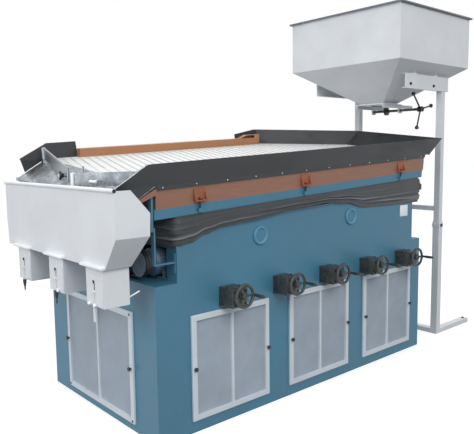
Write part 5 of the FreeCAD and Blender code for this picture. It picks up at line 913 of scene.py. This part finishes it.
class SEPARATOR_OT_hoppers(bpy.types.Operator):
    """Roll the hopper lips, round the spout lids and dress slides, stand and feed handle"""
    bl_idname = "separator.hoppers"
    bl_label = "Hopper Fittings"

    # The discharge hopper's rolled lip, and its two ends.
    LIP_X, LIP_Z, LIP_FRONT, LIP_BACK = -282.5, 1455, -98, 1357
    SLIDE_GRIP = ((0, -3), (9, -2), (11.4, 0), (12, 10), (11, 24), (6, 52), (3.7, 74), (2, 79),
                  (0, 80))
    # The feed hopper's middle and the centre of its handle.
    FEED, HANDLE = (2714, 503), (2834, 160, 1979.6)
    HUB = ((0, -24), (16, -24), (22.4, -19), (22.4, 19), (16, 22.6), (11.4, 22.6), (11.4, 60),
           (0, 60))
    KNOB = ((0, 0), (8, 0), (9.5, 3), (16, 12), (17.6, 19), (15.5, 28), (9, 32), (0, 33))

    def execute(self, context):
        self.discharge()
        self.slides()
        self.feed()
        self.stand()
        return {"FINISHED"}

    def discharge(self):
        """White rolled lip and spout lids; dark lip plugs, slide bolts, and dark strips of painted
        shadow behind the slots.
        """
        white = bmesh.new()
        add_rod(white, spot(self.LIP_X, self.LIP_FRONT, self.LIP_Z),
                spot(self.LIP_X, self.LIP_BACK, self.LIP_Z), 0.0114, 28)
        for y in SPOUTS:
            add_block(white, spot(-308, y - 121, 1041), spot(-281, y + 121, 1060), 0.006)
        add_rod(white, spot(-133, 60, 866), spot(-70, 42, 897), 0.0045, 12)
        link_piece("hopper_lip_and_lids", white, "lip_paint", "machine")
        dark = bmesh.new()
        for y, side in ((self.LIP_FRONT, -1), (self.LIP_BACK, 1)):
            add_rod(dark, spot(self.LIP_X, y - 3 * side, self.LIP_Z),
                    spot(self.LIP_X, y + 0.8 * side, self.LIP_Z), 0.0102)
        for y in SPOUTS:
            add_bolt(dark, spot(-289.6, y, 967), -X_AXIS, 0.0045)
            # Dark strip of painted shadow behind the slot of each slide.
            add_block(dark, spot(-283.3, y - 5.5, 908), spot(-283.05, y + 5.5, 984))
        link_piece("hopper_plugs_bolts_and_painted_slot_shade", dark, "black_bolt", "machine")

    def slides(self):
        """Pulls of the outlet slides: two white balls, and two dark grips with collars."""
        balls = bmesh.new()
        add_ball(balls, spot(-294, 188.4, 843), 0.0104)
        add_ball(balls, spot(-294, 131, 838), 0.009)
        link_piece("slide_balls_1", balls, "lip_paint", "outlet_gate_1")
        for number, y in ((2, SPOUTS[1] - 22), (3, SPOUTS[2] - 22)):
            body = "outlet_gate_%d" % number
            grip = bmesh.new()
            add_turned(grip, spot(-298.4, y, 843), -Z_AXIS, self.SLIDE_GRIP, 28)
            link_piece("slide_grip_%d" % number, grip, "black_plastic", body)
            top = bmesh.new()
            if number == 2:
                add_ball(top, spot(-296, y - 17, 845), 0.0095)
            else:
                add_ring(top, spot(-298.4, y, 842), Z_AXIS, 0.009, 0.003, 32, 10)
            link_piece("slide_collar_%d" % number, top, "lip_paint", body)

    def feed(self):
        """Dark angle round the feed hopper's mouth, and a smooth handle for its slide."""
        rim = bmesh.new()
        x, y = self.FEED
        # The end bars stop short of the long ones, so that each bar stays closed.
        for low, high in (((x - 531, y - 574.5), (x + 531, y - 570)),
                          ((x - 531, y + 570), (x + 531, y + 574.5)),
                          ((x - 531, y - 569.8), (x - 526.5, y + 569.8)),
                          ((x + 526.5, y - 569.8), (x + 531, y + 569.8))):
            add_block(rim, spot(*low, 2735), spot(*high, 2747.4), 0.001)
        link_piece("feed_hopper_rim_angle", rim, "rim_paint", "machine")
        centre = spot(*self.HANDLE)
        arms, knobs = bmesh.new(), bmesh.new()
        add_turned(arms, centre, Y_AXIS, self.HUB)
        for angle in (12, 132, 252):
            turn = math.radians(angle)
            way = Vector((math.cos(turn), 0, math.sin(turn)))
            add_rod(arms, centre + way * 0.015, centre + way * 0.155, 0.0067)
            add_turned(knobs, centre + way * 0.147, way, self.KNOB, 28)
        link_piece("feed_handle_hub_and_arms", arms, "black_bolt", "feed_handle", slot="dark_iron")
        link_piece("feed_handle_knobs", knobs, "black_plastic", "feed_handle")

    @staticmethod
    def stand():
        """Bolts of the stand and of the back's covers, end filter screws and a bare plate."""
        bolts = bmesh.new()
        for y, side in ((40, -1), (966, 1)):
            for x in (2492, 2833):
                add_bolt(bolts, spot(x, y, 2162), Y_AXIS * side, 0.006)
        for y in (70, 936):
            for side in (-1, 1):
                add_bolt(bolts, spot(3000, y + 34 * side, 975), Y_AXIS * side, 0.006)
            add_bolt(bolts, spot(3490, y, 40), Z_AXIS, 0.006)
        for start in (125, 950, 1775):
            for x in (15, 350, 685):
                for z in (125, 735):
                    add_bolt(bolts, spot(start + x, 1323, z), Y_AXIS, 0.004)
        for y in END_FILTER_Y:
            for z in (66, 711):
                add_screw(bolts, spot(-15, y, z), -X_AXIS, 0.0075)
        link_piece("stand_and_cover_bolts", bolts, "black_bolt", "machine")
        plate = bmesh.new()
        add_block(plate, spot(2314, -1.2, 1110), spot(2419, 0, 1198), 0.0004)
        link_piece("bare_plate", plate, "lip_paint", "machine")


class SEPARATOR_OT_stage(bpy.types.Operator):
    """Make the floor, the soft lights, the white surroundings and the camera"""
    bl_idname = "separator.stage"
    bl_label = "Studio Stage"

    # The photograph's camera: place in metres, yaw, pitch and roll in degrees, then focal
    # length and picture width in pixels.
    PLACE, ANGLES = (-3.043, -3.351, 1.643), (48.954, 6.318, -0.747)
    FOCAL, WIDTH = 595.169, 474

    def execute(self, context):
        self.floor()
        self.world(context)
        self.lamps()
        self.camera(context)
        context.scene.view_settings.view_transform = "Standard"
        return {"FINISHED"}

    @staticmethod
    def split(tree, plain, bright, output):
        """Bright for rays from the camera, in reflections and through glass, else plain."""
        rays = add_node(tree, "LightPath")
        seen = rays.outputs["Is Camera Ray"]
        for name in ("Is Glossy Ray", "Is Transmission Ray"):
            seen = add_node(tree, "Math", {0: seen, 1: rays.outputs[name]},
                            operation="MAXIMUM").outputs[0]
        both = add_node(tree, "MixShader", {0: seen, 1: plain.outputs[0], 2: bright.outputs[0]})
        tree.links.new(both.outputs[0], tree.nodes[output].inputs["Surface"])

    def floor(self):
        """Floor seen as white with a soft shadow, and grey for the light it throws back."""
        bm = bmesh.new()
        bmesh.ops.create_grid(bm, x_segments=1, y_segments=1, size=60)
        mesh = bpy.data.meshes.new("floor")
        bm.to_mesh(mesh)
        bm.free()
        skin = Skin("pale_floor", {**PAINT, "Roughness": 0.95, "Specular IOR Level": 0,
                                   "Base Color": (*linear("#E6E6E6"), 1)})
        tree = skin.tree
        grey = add_node(tree, "BsdfDiffuse", {"Color": (*linear("#5E6062"), 1)})
        glow = add_node(tree, "Emission", {"Color": (1, 1, 1, 1), "Strength": 0.45})
        bright = add_node(tree, "AddShader", {0: skin.shader.outputs[0], 1: glow.outputs[0]})
        self.split(tree, grey, bright, "Material Output")
        mesh.materials.append(skin.material)
        put("floor", mesh)

    def world(self, context):
        """Cool soft daylight, seen as plain white."""
        world = bpy.data.worlds.new("studio")
        world.use_nodes = True
        tree = world.node_tree
        dim = tree.nodes["Background"]
        dim.inputs["Color"].default_value = (0.95, 0.975, 1.0, 1)
        dim.inputs["Strength"].default_value = 0.72
        white = add_node(tree, "Background", {"Color": (1, 1, 1, 1), "Strength": 1.0})
        self.split(tree, dim, white, "World Output")
        context.scene.world = world

    def lamps(self):
        """Large soft lamps: a key from the front left, a fill from the left, one behind."""
        rows = (("key", (-2.5, -6.0, 5.0), (0, 0, 1.0), 4.0, 225),
                ("fill", (-6.5, -0.5, 3.5), (0, 0, 1.2), 3.5, 125),
                ("back", (4.0, 5.0, 4.0), (0, 0, 1.2), 4.0, 90))
        for name, place, target, size, power in rows:
            light = bpy.data.lights.new(name, "AREA")
            light.energy = power
            light.size = size
            lamp = put(name, light)
            lamp.location = place
            ahead = Vector(target) - Vector(place)
            lamp.rotation_euler = ahead.to_track_quat("-Z", "Y").to_euler()

    def camera(self, context):
        """Camera at the photograph's place, with its lens."""
        yaw, pitch, roll = (math.radians(a) for a in self.ANGLES)
        data = bpy.data.cameras.new("camera")
        data.lens = self.FOCAL / self.WIDTH * data.sensor_width
        camera = put("camera", data)
        camera.matrix_world = (Matrix.Translation(self.PLACE)
                               @ Matrix.Rotation(yaw - math.pi / 2, 4, "Z")
                               @ Matrix.Rotation(math.pi / 2 - pitch, 4, "X")
                               @ Matrix.Rotation(roll, 4, "Z"))
        context.scene.camera = camera


class SEPARATOR_PT_panel(bpy.types.Panel):
    """Steps that dress the separator"""
    bl_label = "Gravity Separator"
    bl_space_type = "VIEW_3D"
    bl_region_type = "UI"
    bl_category = "Separator"

    def draw(self, context):
        for step in STEPS:
            self.layout.operator(step.bl_idname)
        for group in (context.scene.separator_colours, context.scene.separator_sizes):
            for key in type(group).__annotations__:
                self.layout.prop(group, key)


STEPS = (SEPARATOR_OT_finish_solids, SEPARATOR_OT_bellows, SEPARATOR_OT_handwheels,
         SEPARATOR_OT_knobs, SEPARATOR_OT_air_controls, SEPARATOR_OT_drive,
         SEPARATOR_OT_deck_pieces, SEPARATOR_OT_hoppers, SEPARATOR_OT_stage)
CLASSES = (SeparatorColours, SeparatorSizes, *STEPS, SEPARATOR_PT_panel)


def register():
    for cls in CLASSES:
        bpy.utils.register_class(cls)
    bpy.types.Scene.separator_colours = PointerProperty(type=SeparatorColours)
    bpy.types.Scene.separator_sizes = PointerProperty(type=SeparatorSizes)


def unregister():
    del bpy.types.Scene.separator_sizes
    del bpy.types.Scene.separator_colours
    for cls in reversed(CLASSES):
        bpy.utils.unregister_class(cls)


def main():
    """Dresses the machine, step by step."""
    register()
    for step in STEPS:
        group, name = step.bl_idname.split(".")
        getattr(getattr(bpy.ops, group), name)()


if __name__ == "__main__":
    main()
